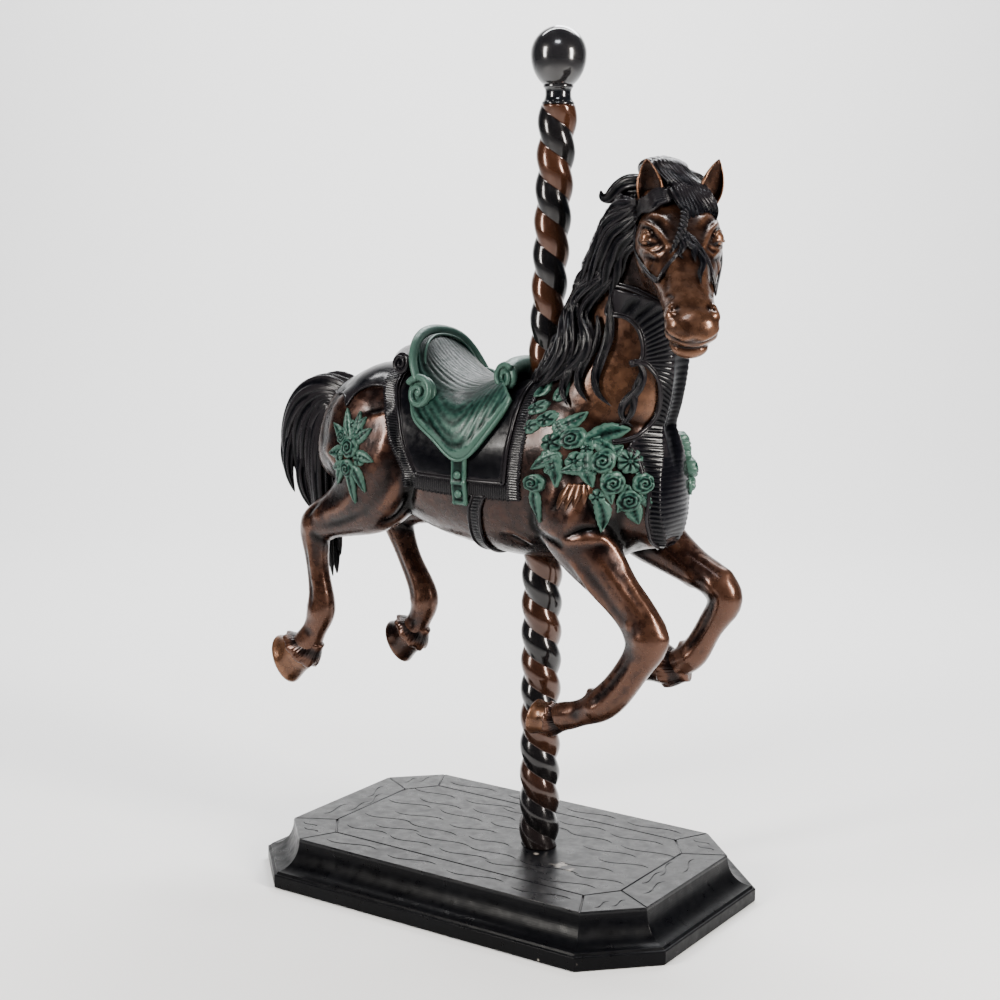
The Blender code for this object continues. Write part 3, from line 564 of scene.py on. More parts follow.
def wholeEight(quarter):
    # the four mirror images of two corners, in order round the plan
    rim = []
    for sx, sy in ((1, 1), (-1, 1), (-1, -1), (1, -1)):
        pair = quarter if sx * sy > 0 else quarter[::-1]
        rim += [(sx * x, sy * y) for x, y in pair]
    return rim


def cutCornerRing(inset, z):
    # the outline drawn in by the inset on every edge
    a = base["halfLength"] - inset
    b = base["halfWidth"] - inset
    c = base["cornerCut"] - inset * (2 - math.sqrt(2))
    return [(x, y, z) for x, y in wholeEight(((a, b - c), (a - c, b)))]


def groove(points, radius):
    # a round cutter laid along points in the top's plane, drawn thin at both ends
    z = base["grooveHeight"]
    thin = np.full(len(points), radius)
    if len(points) > 2:
        thin[0] = thin[-1] = 0.35 * radius
    return bar([(x, y, z) for x, y in points], thin, (0, 0, 1), 16, 8)


def stroke(x, y, length, bearing, bend):
    # an S: sideways by the bend times the sine of a whole turn along its length, eased by a half turn's bow
    share = np.linspace(-0.5, 0.5, 7)
    aside = bend * np.sin(tau * share * 0.9) * (0.6 + 0.8 * np.abs(share))
    c = math.cos(bearing)
    s = math.sin(bearing)
    return [(x + length * t * c - a * s, y + length * t * s + a * c) for t, a in zip(share, aside)]


def baseBlock():
    # levels of the outline from the foot up; the cove's inset is a sine, its height one less a cosine
    insetFrom, insetTo, low, high = base["cove"]
    levels = list(base["tier"])
    for t in np.linspace(0, math.pi / 2, base["coveSteps"]):
        inset = insetFrom + (insetTo - insetFrom) * math.sin(t)
        levels.append((inset, low + (high - low) * (1 - math.cos(t))))
    levels.append((insetTo + 0.0012, base["height"]))
    return tube([cutCornerRing(inset, z) for inset, z in levels])


def engraving():
    # the inner frame, a line from each of its corners to the rim, and rows of strokes in every field
    dice = np.random.default_rng(base["seed"])
    radius = base["grooveRadius"]
    inner = wholeEight(base["frame"])
    outer = [(x, y) for x, y, z in cutCornerRing(base["cove"][1] + 0.001, 0)]
    lines = []
    for i in range(8):
        lines.append(groove([inner[i], inner[(i + 1) % 8]], radius))
        lines.append(groove([inner[i], outer[i]], radius * 0.9))
    rows = base["rows"]
    for row in range(7):
        y = rows["y"] + rows["rise"] * row
        start = rows["x"] + rows["stagger"] * (row % 2)
        for column in range(5):
            x = start + rows["pitch"] * column + dice.uniform(-0.014, 0.014)
            byPole = abs(x - poles["x"]) < 0.085 and abs(y) < 0.055
            if byPole or abs(x) > 0.37 - abs(y) * 0.42:
                continue
            bearing = dice.uniform(-0.2, 0.06)
            points = stroke(x, y + dice.uniform(-0.008, 0.008), dice.uniform(0.11, 0.15), bearing, 0.013)
            lines.append(groove(points, radius * 0.8))
    for side in (near, far):
        for column in range(4):  # along the long sides
            x = -0.245 + 0.163 * column
            points = stroke(x, side * 0.234, dice.uniform(0.12, 0.14), -0.04 * side, 0.012)
            lines.append(groove(points, radius * 0.85))
        for end in (-1, 1):  # across the ends and the cut corners
            for step in range(2):
                x = end * (0.386 + 0.03 * step)
                y = side * (0.03 + 0.044 * step)
                lines.append(groove(stroke(x, y, 0.085, math.pi / 2 + 0.12 * side, 0.009), radius * 0.75))
                x = end * (0.374 + 0.024 * step)
                y = side * (0.214 - 0.026 * step)
                bearing = math.pi / 2 + end * side * math.pi / 4 + 0.5
                lines.append(groove(stroke(x, y, 0.045, bearing, 0.007), radius * 0.7))
    return joined(lines)


def buildPlinth():
    # the block with its edges rounded and the strokes cut out of its top
    block = linked("baseBlock", meshOf("baseBlock", baseBlock()))
    block.data.shade_flat()
    cutter = linked("engraving", meshOf("engraving", engraving()))
    bevel = block.modifiers.new("round", "BEVEL")
    bevel.width = base["rounding"]
    bevel.segments = 3
    bevel.limit_method = "ANGLE"
    bevel.angle_limit = math.radians(22)
    cut = block.modifiers.new("engrave", "BOOLEAN")
    cut.operation = "DIFFERENCE"
    cut.object = cutter
    cut.solver = "EXACT"
    cut.use_self = True
    mesh = bpy.data.meshes.new_from_object(block.evaluated_get(bpy.context.evaluated_depsgraph_get()))
    for obj in (block, cutter):
        bpy.data.objects.remove(obj, do_unlink=True)
    for name in {"grain", "tint"} & set(mesh.attributes.keys()):
        mesh.attributes.remove(mesh.attributes[name])
    places = np.empty(len(mesh.vertices) * 3)
    mesh.vertices.foreach_get("co", places)
    top = places[2::3] > base["cove"][3]
    # the top higher than the sides: more shine, and a lighter colour as a painted sheen
    setMark(mesh, "wearAndShade", "FLOAT", np.where(top, base["wearAndShade"][1], base["wearAndShade"][0]))
    addPiece("plinth", mesh, bronze("blackBase", baseLook), "base")


# Poles: two strands, each a circle off the axis, that make half a turn in each half pitch

poles = {
    "x": 0.088,
    "lean": math.radians(2.4),
    "bearing": math.radians(33.7),
    "offset": 0.175,
    "sides": 72,
    "step": 0.004,
    "lower": {"low": 0.1004, "high": 0.785, "notch": 0.6688, "half": 0.0624, "radii": (0.0435, 0.0435)},
    "upper": {"low": 1.095, "high": 1.673, "notch": 1.6088, "half": 0.0666, "radii": (0.036, 0.0405)},
}
poleLook = {
    "stops": (
        (0.2, (0.0008, 0.0008, 0.0013)),
        (0.55, (0.002, 0.002, 0.0032)),
        (0.95, (0.01, 0.0086, 0.009)),
    ),
    "other": ((0.2, (0.005, 0.0022, 0.0016)), (0.55, (0.02, 0.0068, 0.0038)), (0.95, (0.065, 0.024, 0.011))),
    "patches": (7.0, 0.25, 0.06),
    "rough": (0.14, 0.26),
    "shineWithHollowShade": (0.3, 0.6),
    "metallic": 0.5,
    "coat": (0.3, 0.08),
    "dents": (40.0, 0.25, 0.002),
}


def twisted(part, lean, copper):
    # Distance from the axis: offset times |cos| plus the root of strand squared less (offset sin) squared.
    # One strand is coppery, less so on the lower pole's foot
    count = int(round((part["high"] - part["low"]) / poles["step"])) + 1
    z = np.linspace(part["low"], part["high"], count)[:, None]
    around = fullTurn(poles["sides"])[None]
    radius = np.interp(z, (part["low"], part["high"]), part["radii"])
    offset = radius * poles["offset"]
    r = offset * np.abs(np.cos(around)) + np.sqrt((radius - offset) ** 2 - (offset * np.sin(around)) ** 2)
    turn = poles["bearing"] + math.pi / 2 - math.pi * (z - part["notch"]) / part["half"] + around
    x = poles["x"] + math.tan(lean) * (z - part["low"]) + r * np.cos(turn)
    tint = copper + (1 - copper) * eased(0.12, 0.34, z)
    tint = eased(-0.05, 0.05, np.cos(around)) * tint * (0.7 + 0.3 * copper)
    marks = np.stack([np.cos(around) + 0 * z, np.sin(around) + 0 * z, z + 0 * around, tint], axis=2)
    return tube(np.stack([x, r * np.sin(turn), z + 0 * turn], axis=2), marks)


def buildPoles():
    # both in one material: the lower upright and dark at its foot, the upper leaning and coppery throughout
    material = bronze("poleBronze", poleLook)
    lower = twisted(poles["lower"], 0.0, 0.1)
    upper = twisted(poles["upper"], poles["lean"], 1.0)
    addWornAndShaded("lowerPole", lower, 0.004, 30, material, "pole_bronze", "pole_lower")
    addWornAndShaded("upperPole", upper, 0.004, 30, material, "pole_bronze", "pole_upper")


# Finial: a ball on a waisted neck

finial = {
    "profile": metres((
        (0, 0), (20, 0), (32.5, 0.8), (33.8, 3), (32.5, 5.5), (29.3, 9.5), (26.8, 15.5), (26.2, 21.5),
        (26.8, 28.5), (28.5, 32.5), (30.4, 34.8), (30.7, 37.8), (29.8, 40.5),
    )),
    "foot": 1.6734,
    "top": 1.83,
    "ball": 0.057,
    "drop": 0.071,  # depth of the ball's lower half
    "sides": 72,
}
finialLook = {
    "stops": ((0.2, (0.003, 0.003, 0.0035)), (0.6, (0.006, 0.006, 0.0075)), (0.95, (0.014, 0.013, 0.014))),
    "patches": (6.0, 0.15, 0.05),
    "rough": (0.16, 0.24),
    "shineWithHollowShade": (0.5, 0.5),
    "metallic": 0.3,
    "coat": (0.8, 0.08),
    "dents": (60.0, 0.08, 0.001),
}


def buildFinial():
    # the ball's lower half is a taller oval than its upper; both halves meet at its widest line
    height = poles["upper"]["high"] - poles["upper"]["low"]
    foot = np.array((poles["x"] + math.tan(poles["lean"]) * height, 0, finial["foot"]))
    middle = finial["top"] - finial["ball"] - finial["foot"]
    start = -math.acos(finial["profile"][-1][0] / finial["ball"])
    turn = np.linspace(start, math.pi / 2, 30)
    drop = np.where(turn < 0, finial["drop"], finial["ball"])
    globe = np.stack([finial["ball"] * np.cos(turn), middle + drop * np.sin(turn)], axis=1)
    neck = smoothRows([(r, z, 0) for r, z in finial["profile"]], 60)[:, :2]
    shape = joined([turned(profile, finial["sides"], foot) for profile in (neck, globe)])
    addWornAndShaded("ballFinial", shape, 0.004, 20, bronze("finialBlack", finialLook), "finial_bronze", "finial")


# Floor, light and camera

studio = {
    "lens": 66.198,  # millimetres, like the sensor's width
    "sensor": 36.0,
    "place": (2.12986, -3.22358, 1.51836),
    "yaw": 33.7129,
    "pitch": 9.8068,
    "roll": 0.4784,
    "floorColour": (0.8, 0.8, 0.8),
    "skyColour": (0.62, 0.75, 1.0),
    "skyStrength": 0.07,
    "aim": 0.95,  # height that the panels look at
    "wallAim": (6.0, 1.6),  # distance and height of the place on the wall that its lamp looks at
    "floor": (-9.0, 4.0),  # from in front of the horse to where the curve begins
    "curve": 2.5,
    "wall": 9.0,
    "halfSpread": 12.0,
}
# each lamp: bearing from the camera's, height, distance, width, height of the panel, watts, colour
lamps = (
    (-58, 2.2, 3.0, 0.5, 1.6, 150, (1.0, 0.96, 0.9)),
    (52, 2.0, 3.0, 0.45, 1.5, 200, (1.0, 0.95, 0.88)),
    (-4, 4.1, 2.2, 0.9, 0.5, 45, (0.92, 0.95, 1.0)),
    (160, 3.4, 2.4, 1.8, 0.6, 80, (0.95, 0.97, 1.0)),
)
wallLamp = (180, 5.2, 2.2, 5.0, 1.2, 900, (1.0, 1.0, 1.0))


def buildCamera():
    # back points from the object to the camera; right and up follow from it and are rolled
    yaw, pitch, roll = (math.radians(studio[name]) for name in ("yaw", "pitch", "roll"))
    back = Vector((math.sin(yaw) * math.cos(pitch), -math.cos(yaw) * math.cos(pitch), math.sin(pitch)))
    right = (-back).cross(Vector((0, 0, 1))).normalized()
    up = right.cross(-back)
    rolledRight = right * math.cos(roll) + up * math.sin(roll)
    rolledUp = up * math.cos(roll) - right * math.sin(roll)
    matrix = Matrix((rolledRight, rolledUp, back)).transposed().to_4x4()
    matrix.translation = Vector(studio["place"])
    camera = bpy.data.cameras.new("camera")
    camera.lens = studio["lens"]
    camera.sensor_width = studio["sensor"]
    bpy.context.scene.camera = linked("camera", camera)
    bpy.context.scene.camera.matrix_world = matrix


def buildLamps():
    # every panel stands round the horse's middle and looks at it; the last one looks at the wall behind
    for i, (bearing, height, distance, wide, tall, watts, colour) in enumerate(lamps + (wallLamp,)):
        angle = math.radians(studio["yaw"] + bearing)
        away = Vector((math.sin(angle), -math.cos(angle), 0))
        up = Vector((0, 0, 1))
        aim = up * studio["aim"]
        if i == len(lamps):
            aim = away * studio["wallAim"][0] + up * studio["wallAim"][1]
        place = away * distance + up * height
        lamp = bpy.data.lights.new("panel" + str(i), "AREA")
        lamp.shape = "RECTANGLE"
        lamp.size = wide
        lamp.size_y = tall
        lamp.energy = watts
        lamp.color = colour
        obj = linked("panel" + str(i), lamp)
        turn = (place - aim).to_track_quat("Z", "Y").to_matrix().to_4x4()
        obj.matrix_world = Matrix.Translation(place) @ turn


def buildStage():
    # a floor that rises behind the horse in a quarter circle, a sine along and one less a cosine up
    angle = math.radians(studio["yaw"])
    back = np.array((-math.sin(angle), math.cos(angle)))
    aside = np.array((math.cos(angle), math.sin(angle)))
    bend = np.linspace(0, math.pi / 2, 24)
    start, end = studio["floor"]
    radius = studio["curve"]
    run = np.concatenate([[start], end + radius * np.sin(bend), [end + radius]])
    rise = np.concatenate([[0.0], radius * (1 - np.cos(bend)), [studio["wall"]]])
    spread = np.array((-1, 1)) * studio["halfSpread"]
    plan = back * run[:, None, None] + aside * spread[None, :, None]
    points = np.concatenate([plan, np.broadcast_to(rise[:, None, None], plan.shape[:2] + (1,))], axis=2)
    number = np.arange(len(run) * 2).reshape(-1, 2)
    quads = np.stack([number[:-1, 0], number[:-1, 1], number[1:, 1], number[1:, 0]], axis=1)
    shape = {"points": points.reshape(-1, 3), "quads": quads, "tris": np.zeros((0, 3), int)}
    shape["marks"] = np.zeros((len(shape["points"]), 4))
    mesh = meshOf("floor", shape)
    material = bpy.data.materials.new("paper")
    material.use_nodes = True
    shader = material.node_tree.nodes["Principled BSDF"]
    plug(material.node_tree, shader, {"Base Color": (*studio["floorColour"], 1.0), "Roughness": 0.9})
    mesh.materials.append(material)
    floor = linked("floor", mesh)
    world = bpy.data.worlds.new("studio")
    world.use_nodes = True
    sky = world.node_tree.nodes["Background"]
    plug(world.node_tree, sky, {"Color": (*studio["skyColour"], 1.0), "Strength": studio["skyStrength"]})
    bpy.context.scene.world = world


# Body: barrel, neck and legs fused to one skin, then worked with a brush

body = {
    # x, middle z, half width, height above, height below
    "torso": metres((
        (-462, 990, 20, 30, 30), (-448, 985, 70, 78, 85), (-410, 975, 112, 122, 125),
        (-340, 965, 144, 160, 148), (-250, 955, 148, 163, 142), (-150, 945, 147, 155, 168),
        (-50, 940, 150, 152, 186), (50, 940, 149, 166, 199), (150, 945, 144, 190, 200),
        (250, 955, 132, 190, 198), (325, 965, 101, 170, 180), (376, 975, 62, 130, 130),
        (396, 980, 22, 45, 45),
    )),
    # x, y, z, half width, depth to the crest, depth to the throat
    "neck": metres((
        (175, 0, 1005, 115, 120, 150), (235, 0, 1090, 108, 125, 150), (275, -2, 1180, 94, 118, 132),
        (305, -10, 1270, 80, 105, 112), (338, -22, 1355, 70, 92, 95), (368, -36, 1425, 64, 80, 80),
        (385, -45, 1475, 55, 60, 60),
    )),
    # on both sides: middle and radii of the shoulder, the breast and the haunch
    "swells": (
        ((0.258, 0.084, 0.93), (0.082, 0.05, 0.11)),
        ((0.322, 0.046, 0.88), (0.056, 0.046, 0.072)),
        ((-0.305, 0.096, 0.965), (0.11, 0.058, 0.12)),
    ),
    "foreY": 0.092,
    "hindY": 0.098,
    "voxel": 0.0053,
    "easing": 3,
    "neckTint": 0.75,
}
# legs: x, z, half width, half depth in front, half depth behind
foreNear = metres((
    (190, 985, 36, 80, 75), (205, 900, 56, 85, 85), (240, 820, 57, 72, 80), (290, 755, 46, 54, 60),
    (345, 695, 38, 42, 45), (383, 652, 36, 42, 46), (398, 622, 36, 44, 48), (386, 585, 31, 36, 42),
    (352, 535, 28, 34, 36), (315, 490, 29, 36, 36), (285, 465, 30, 34, 35), (245, 445, 25, 28, 28),
    (200, 430, 26, 30, 30), (180, 427, 22, 26, 26),
))
foreFar = metres((
    (190, 985, 36, 80, 75), (225, 880, 56, 80, 85), (280, 815, 56, 66, 72), (350, 768, 44, 48, 52),
    (415, 733, 36, 37, 39), (458, 710, 34, 36, 36), (474, 684, 34, 37, 34), (456, 640, 27, 30, 32),
    (427, 590, 25, 28, 30), (400, 550, 28, 31, 33), (372, 530, 28, 30, 32), (352, 522, 26, 30, 30),
    (336, 521, 22, 26, 26),
))
hindNear = metres((
    (-290, 1020, 50, 110, 120), (-275, 940, 70, 130, 140), (-290, 870, 66, 115, 110),
    (-345, 815, 50, 72, 70), (-405, 785, 40, 48, 50), (-447, 762, 33, 43, 38), (-448, 715, 27, 31, 31),
    (-441, 650, 24, 25, 26), (-434, 600, 27, 30, 31), (-436, 568, 29, 34, 34), (-456, 520, 25, 28, 28),
    (-482, 480, 28, 33, 33), (-494, 465, 22, 26, 26),
))
hindFar = metres((
    (-270, 1020, 50, 110, 120), (-250, 940, 70, 130, 140), (-255, 870, 66, 115, 110),
    (-290, 820, 50, 74, 70), (-335, 795, 40, 50, 50), (-368, 770, 34, 46, 40), (-356, 720, 28, 32, 32),
    (-326, 655, 25, 27, 28), (-300, 605, 28, 32, 32), (-292, 572, 29, 34, 34), (-308, 525, 25, 28, 28),
    (-330, 490, 28, 33, 33), (-342, 476, 22, 26, 26),
))
# brush strokes on the near side: path, width, height
nearStrokes = metres((
    (((148, -132, 853), (143, -120, 824), (184, -139, 812), (224, -146, 802)), 7, -7),
    (((236, -147, 812), (278, -141, 818), (316, -114, 816), (342, -102, 778)), 9, 6),
    (((342, -102, 778), (376, -105, 726), (420, -106, 672)), 8, 4),
    (((240, -148, 820), (277, -138, 840), (299, -120, 838)), 6, -6),
    (((248, -141, 774), (282, -126, 714), (345, -126, 642)), 7, 4),
    (((307, -132, 780), (351, -125, 723), (395, -121, 677)), 7, 4),
    (((280, -136, 756), (318, -128, 708), (365, -125, 656)), 10, -4),
    (((-141, -151, 910), (-169, -130, 850), (-208, -124, 809), (-230, -131, 795)), 10, -8),
    (((-168, -150, 925), (-196, -150, 865), (-236, -148, 822)), 16, 6),
    (((-290, -162, 860), (-340, -150, 820), (-395, -138, 800)), 12, 5),
    (((-262, -160, 822), (-330, -146, 790), (-395, -134, 772)), 8, -4),
    (((84, -112, 802), (100, -103, 792), (116, -93, 781)), 6, -4),
    (((70, -122, 812), (98, -112, 800), (122, -100, 786)), 6, 3),
    (((204, -149, 872), (216, -147, 893), (219, -144, 920)), 7, -5),
    (((240, -146, 850), (262, -140, 885), (262, -138, 925)), 14, 5),
    (((-200, -155, 1020), (-215, -156, 960), (-240, -160, 900)), 20, 4),
    (((-385, -125, 1020), (-400, -130, 950), (-395, -138, 880)), 14, -5),
    (((205, -150, 800), (262, -146, 748), (330, -134, 690)), 8.5, 4.5),
    (((322, -100, 806), (368, -88, 742), (408, -84, 676)), 7.5, 4.5),
    (((-330, -166, 900), (-380, -150, 856), (-430, -132, 806)), 10, 5.5),
    (((-400, -140, 838), (-436, -128, 800), (-456, -118, 770)), 7, -5),
    (((-448, -126, 752), (-446, -122, 700), (-438, -120, 630)), 5.5, 4),
))
# both sides: path, width, height
pairStrokes = metres((
    (((352, -51, 813), (335, -30, 785), (310, -10, 770)), 12, -6),
    (((330, -75, 862), (352, -55, 838), (352, -30, 810)), 10, 5),
    (((0, -150, 905), (-60, -151, 880), (-120, -148, 880)), 18, 2),
))


def legFolds(shape, normals, stations, y, knee, fetlock):
    # two tendon grooves down the cannon, swells over the knee and round it, and one behind the fetlock
    rows = np.array(stations)
    place = np.column_stack([rows[:, 0], np.full(len(rows), y), rows[:, 1]])
    for side in (near, far):
        aside = np.array((0.0, side, 0.0))
        outward = rows[:, 2:3] * aside
        cannon = place[knee + 1 : fetlock + 1] + outward[knee + 1 : fetlock + 1]
        run = unit(np.gradient(place, axis=0))
        rear = np.stack([run[:, 2], 0 * run[:, 0], -run[:, 0]], axis=1)
        back = rear[knee + 1 : fetlock + 1] * rows[knee + 1 : fetlock + 1, 3:4]
        brush(shape, normals, cannon + 0.3 * back, 0.005, -0.0034)
        brush(shape, normals, cannon - 0.15 * back, 0.008, 0.0024)
        brush(shape, normals, place[knee] + outward[knee], 0.016, 0.005)
        brush(shape, normals, place[knee - 1] + outward[knee - 1] + rear[knee] * 0.012, 0.01, 0.0035)
        brush(shape, normals, place[fetlock] + outward[fetlock], 0.014, 0.004)
        brush(shape, normals, place[fetlock + 1] + outward[fetlock + 1] * 0.8, 0.01, -0.003)
    for way in (-1, 1):
        brush(shape, normals, place[knee] + rear[knee] * way * rows[knee, 3], 0.014, 0.0045)
    brush(shape, normals, place[fetlock] + rear[fetlock] * rows[fetlock, 3], 0.0085, 0.008)


def atSide(stations, y):
    # stations of x, z and three sizes, all at one y
    return [(x, y, z, *sizes) for x, z, *sizes in stations]


def buildBody():
    # the lofts and swells fused, brushed with every stroke and eased; the neck's hollow is tinted
    shapes = [loft(atSide(body["torso"], 0), 90, 90, 2.2), loft(body["neck"], 70, 72, 2.2)]
    legs = (
        (foreNear, near * body["foreY"], 6, 10),
        (foreFar, far * body["foreY"], 5, 9),
        (hindNear, near * body["hindY"], 5, 9),
        (hindFar, far * body["hindY"], 5, 9),
    )
    shapes += [loft(atSide(rows, y), 60, 36, 2.1) for rows, y, knee, fetlock in legs]
    for side in (near, far):
        shapes += [sideBall(side, centre, radii, 30) for centre, radii in body["swells"]]
    shape = fused(shapes, body["voxel"], body["easing"])
    normals = pointNormals(shape)
    for path, width, height in nearStrokes:
        same, opposite = mirrorPair(path)
        if height < 0 and path[0][0] > 0:  # the far foreleg reaches further forward
            opposite = opposite + (0.03, 0, 0)
        brush(shape, normals, same, width, height)
        brush(shape, normals, opposite, width, height)
    for path, width, height in pairStrokes:
        for line in mirrorPair(path):
            brush(shape, normals, line, width, height)
    for rows, y, knee, fetlock in legs:
        legFolds(shape, normals, rows, y, knee, fetlock)
    soften(shape)
    x, y, z = shape["points"].T
    hollow = eased(1.02, 1.08, z) * eased(1.34, 1.26, z) * eased(0.2, 0.27, x)
    shape["marks"][:, 3] = body["neckTint"] * hollow
    return shape


bronzeLook = {
    "stops": (
        (0.14, (0.0012, 0.0009, 0.001)),
        (0.38, (0.0044, 0.0021, 0.0017)),
        (0.55, (0.0098, 0.0039, 0.003)),
        (0.76, (0.0265, 0.0097, 0.0057)),
        (0.95, (0.07, 0.029, 0.016)),
    ),
    "other": (
        (0.2, (0.012, 0.0045, 0.003)),
        (0.5, (0.052, 0.0205, 0.0095)),
        (0.8, (0.15, 0.068, 0.034)),
    ),
    "patches": (6.0, 0.16, 0.1),
    "rough": (0.2, 0.38),
    "shineWithHollowShade": (0.04, 0.46),
    "metallic": 0.66,
    "coat": (0.2, 0.17),
    "dents": (55.0, 0.4, 0.0022),
}


# Skin maps: the body's skin as a distance from an axis, looked up by place along it and angle round it

skins = {
    "barrelZ": 0.95,  # the barrel's axis lies level here
    "barrelSpans": ((-0.46, 0.3), (-90.0, 270.0)),
    "barrelCells": (153, 121),
    "chestX": 0.25,  # the chest's axis goes through x and z, and leans forward by the slope
    "chestZ": 0.8,
    "chestSlope": 0.12,
    "chestSpans": ((0.73, 1.36), (-170.0, 170.0)),
    "chestCells": (127, 115),
}


def cells(skin, along, angle):
    # each place as cells from the low end of both spans
    (lowA, highA), (lowB, highB) = skin["spans"]
    rows, columns = skin["counts"]
    return (along - lowA) / (highA - lowA) * (rows - 1), (angle - lowB) / (highB - lowB) * (columns - 1)


def neighbours(grid):
    # the cells above, left, right and below each one, the border repeated
    pad = np.pad(grid, 1, mode="edge")
    return pad[:-2, 1:-1], pad[1:-1, :-2], pad[1:-1, 2:], pad[2:, 1:-1]


def skinMap(along, angle, radius, spans, counts):
    # The farthest radius in each cell; empty cells take the mean of their known neighbours; then eased
    skin = {"spans": spans, "counts": counts}
    a, b = (np.round(place).astype(int) for place in cells(skin, along, angle))
    inside = (a >= 0) & (a < counts[0]) & (b >= 0) & (b < counts[1])
    grid = np.zeros(counts)
    np.maximum.at(grid, (a[inside], b[inside]), radius[inside])
    known = grid > 0
    for _ in range(60):
        total = sum(neighbours(grid * known))
        weight = sum(neighbours(known.astype(float)))
        fill = ~known & (weight > 0)
        grid[fill] = total[fill] / weight[fill]
        known |= fill
    for _ in range(2):
        grid = 0.4 * grid + 0.15 * sum(neighbours(grid))
    return skin | {"grid": grid}


def looked(skin, along, angle):
    # the map read between its cells in straight lines
    rows, columns = skin["counts"]
    a, b = cells(skin, along, angle)
    a = np.clip(a, 0, rows - 1.001)
    b = np.clip(b, 0, columns - 1.001)
    i = a.astype(int)
    j = b.astype(int)
    u = a - i
    v = b - j
    grid = skin["grid"]
    top = grid[i, j] * (1 - v) + grid[i, j + 1] * v
    low = grid[i + 1, j] * (1 - v) + grid[i + 1, j + 1] * v
    return top * (1 - u) + low * u


def floats(*values):
    # numbers or arrays brought to one shape
    return np.broadcast_arrays(*(np.asarray(value, float) for value in values))


def barrelMap(points):
    # round the barrel's axis: the angle is nought at the near side and a right angle on top
    y = -points[:, 1]
    z = points[:, 2] - skins["barrelZ"]
    radius = np.hypot(y, z)
    keep = radius < 0.235
    angle = np.mod(np.degrees(np.arctan2(z, y)) + 90, 360) - 90
    return skinMap(points[keep, 0], angle[keep], radius[keep], skins["barrelSpans"], skins["barrelCells"])


def onBarrel(skin, x, angle, lift):
    # the skin's radius plus the lift, laid out along the angle in degrees
    x, angle, lift = floats(x, angle, lift)
    r = looked(skin, x, np.mod(angle + 90, 360) - 90) + lift
    turn = np.radians(angle)
    return np.stack([x, -r * np.cos(turn), skins["barrelZ"] + r * np.sin(turn)], axis=-1)


def outOfBarrel(points):
    # the way square out from the barrel's axis
    return unit((points - (0, 0, skins["barrelZ"])) * (0, 1, 1))


def chestAxis(z):
    # x of the chest's axis at that height
    return skins["chestX"] + (z - skins["chestZ"]) * skins["chestSlope"]


def chestMap(points):
    # round the chest's axis: the angle is nought ahead and positive on the near side
    x = points[:, 0] - chestAxis(points[:, 2])
    radius = np.hypot(x, points[:, 1])
    angle = np.degrees(np.arctan2(-points[:, 1], x))
    keep = (radius < 0.2) & (np.abs(angle) < 172) & (points[:, 2] > 0.72)
    return skinMap(points[keep, 2], angle[keep], radius[keep], skins["chestSpans"], skins["chestCells"])


def onChest(skin, z, angle, lift):
    # the skin's radius plus the lift, laid out along the angle in degrees
    z, angle, lift = floats(z, angle, lift)
    r = looked(skin, z, angle) + lift
    turn = np.radians(angle)
    return np.stack([chestAxis(z) + r * np.cos(turn), -r * np.sin(turn), z], axis=-1)


def outOfChest(points):
    # the way level out from the chest's axis
    return unit(points - np.column_stack([chestAxis(points[:, 2]), 0 * points[:, 0], points[:, 2]]))


# Head: made along its own axes (u to the lips, v to its left, w out of the forehead), then turned

head = {
    "turn": math.radians(53.5),
    "tilt": math.radians(34),
    "poll": (0.399, -0.028, 1.46),
    "voxel": 0.0024,
    # u, rise, half width, depth above, depth below
    "skull": metres((
        (-48, 10, 18, 20, 22), (-30, 10, 48, 50, 55), (20, 4, 68, 60, 82), (70, 0, 81, 62, 104),
        (115, 0, 81, 60, 112), (160, -2, 66, 54, 96), (205, -6, 55, 48, 73), (250, -10, 49, 44, 57),
        (290, -12, 47, 41, 51), (325, -14, 49, 36, 49), (352, -18, 41, 27, 38), (366, -22, 20, 12, 18),
    )),
    "easing": 5,
    "eye": (0.1165, 0.0635, 0.0262),
    "eyeRadius": 0.0168,
    "lids": (40.0, -38.0),
    # on both sides: middle and radii of the eye's socket, then nostril, cheek and the ear's root
    "socket": ((0.11, 0.06, 0.022), (0.028, 0.014, 0.017), 30),
    "swells": (
        ((0.316, 0.037, 0.002), (0.023, 0.0135, 0.018), 30),
        ((0.082, 0.04, -0.048), (0.07, 0.034, 0.064), 36),
        ((0.0, 0.05, 0.03), (0.026, 0.02, 0.026), 24),
    ),
    # in the middle: chin and lips
    "muzzle": (((0.322, 0, -0.062), (0.036, 0.036, 0.022)), ((0.325, 0, -0.008), (0.036, 0.046, 0.031))),
    "ear": metres(((22, 46, 24), (14, 53, 48), (0, 61, 75), (-18, 67, 97), (-27, 70, 109))),
    "tint": 0.52,
    "eyeTint": 0.8,
}
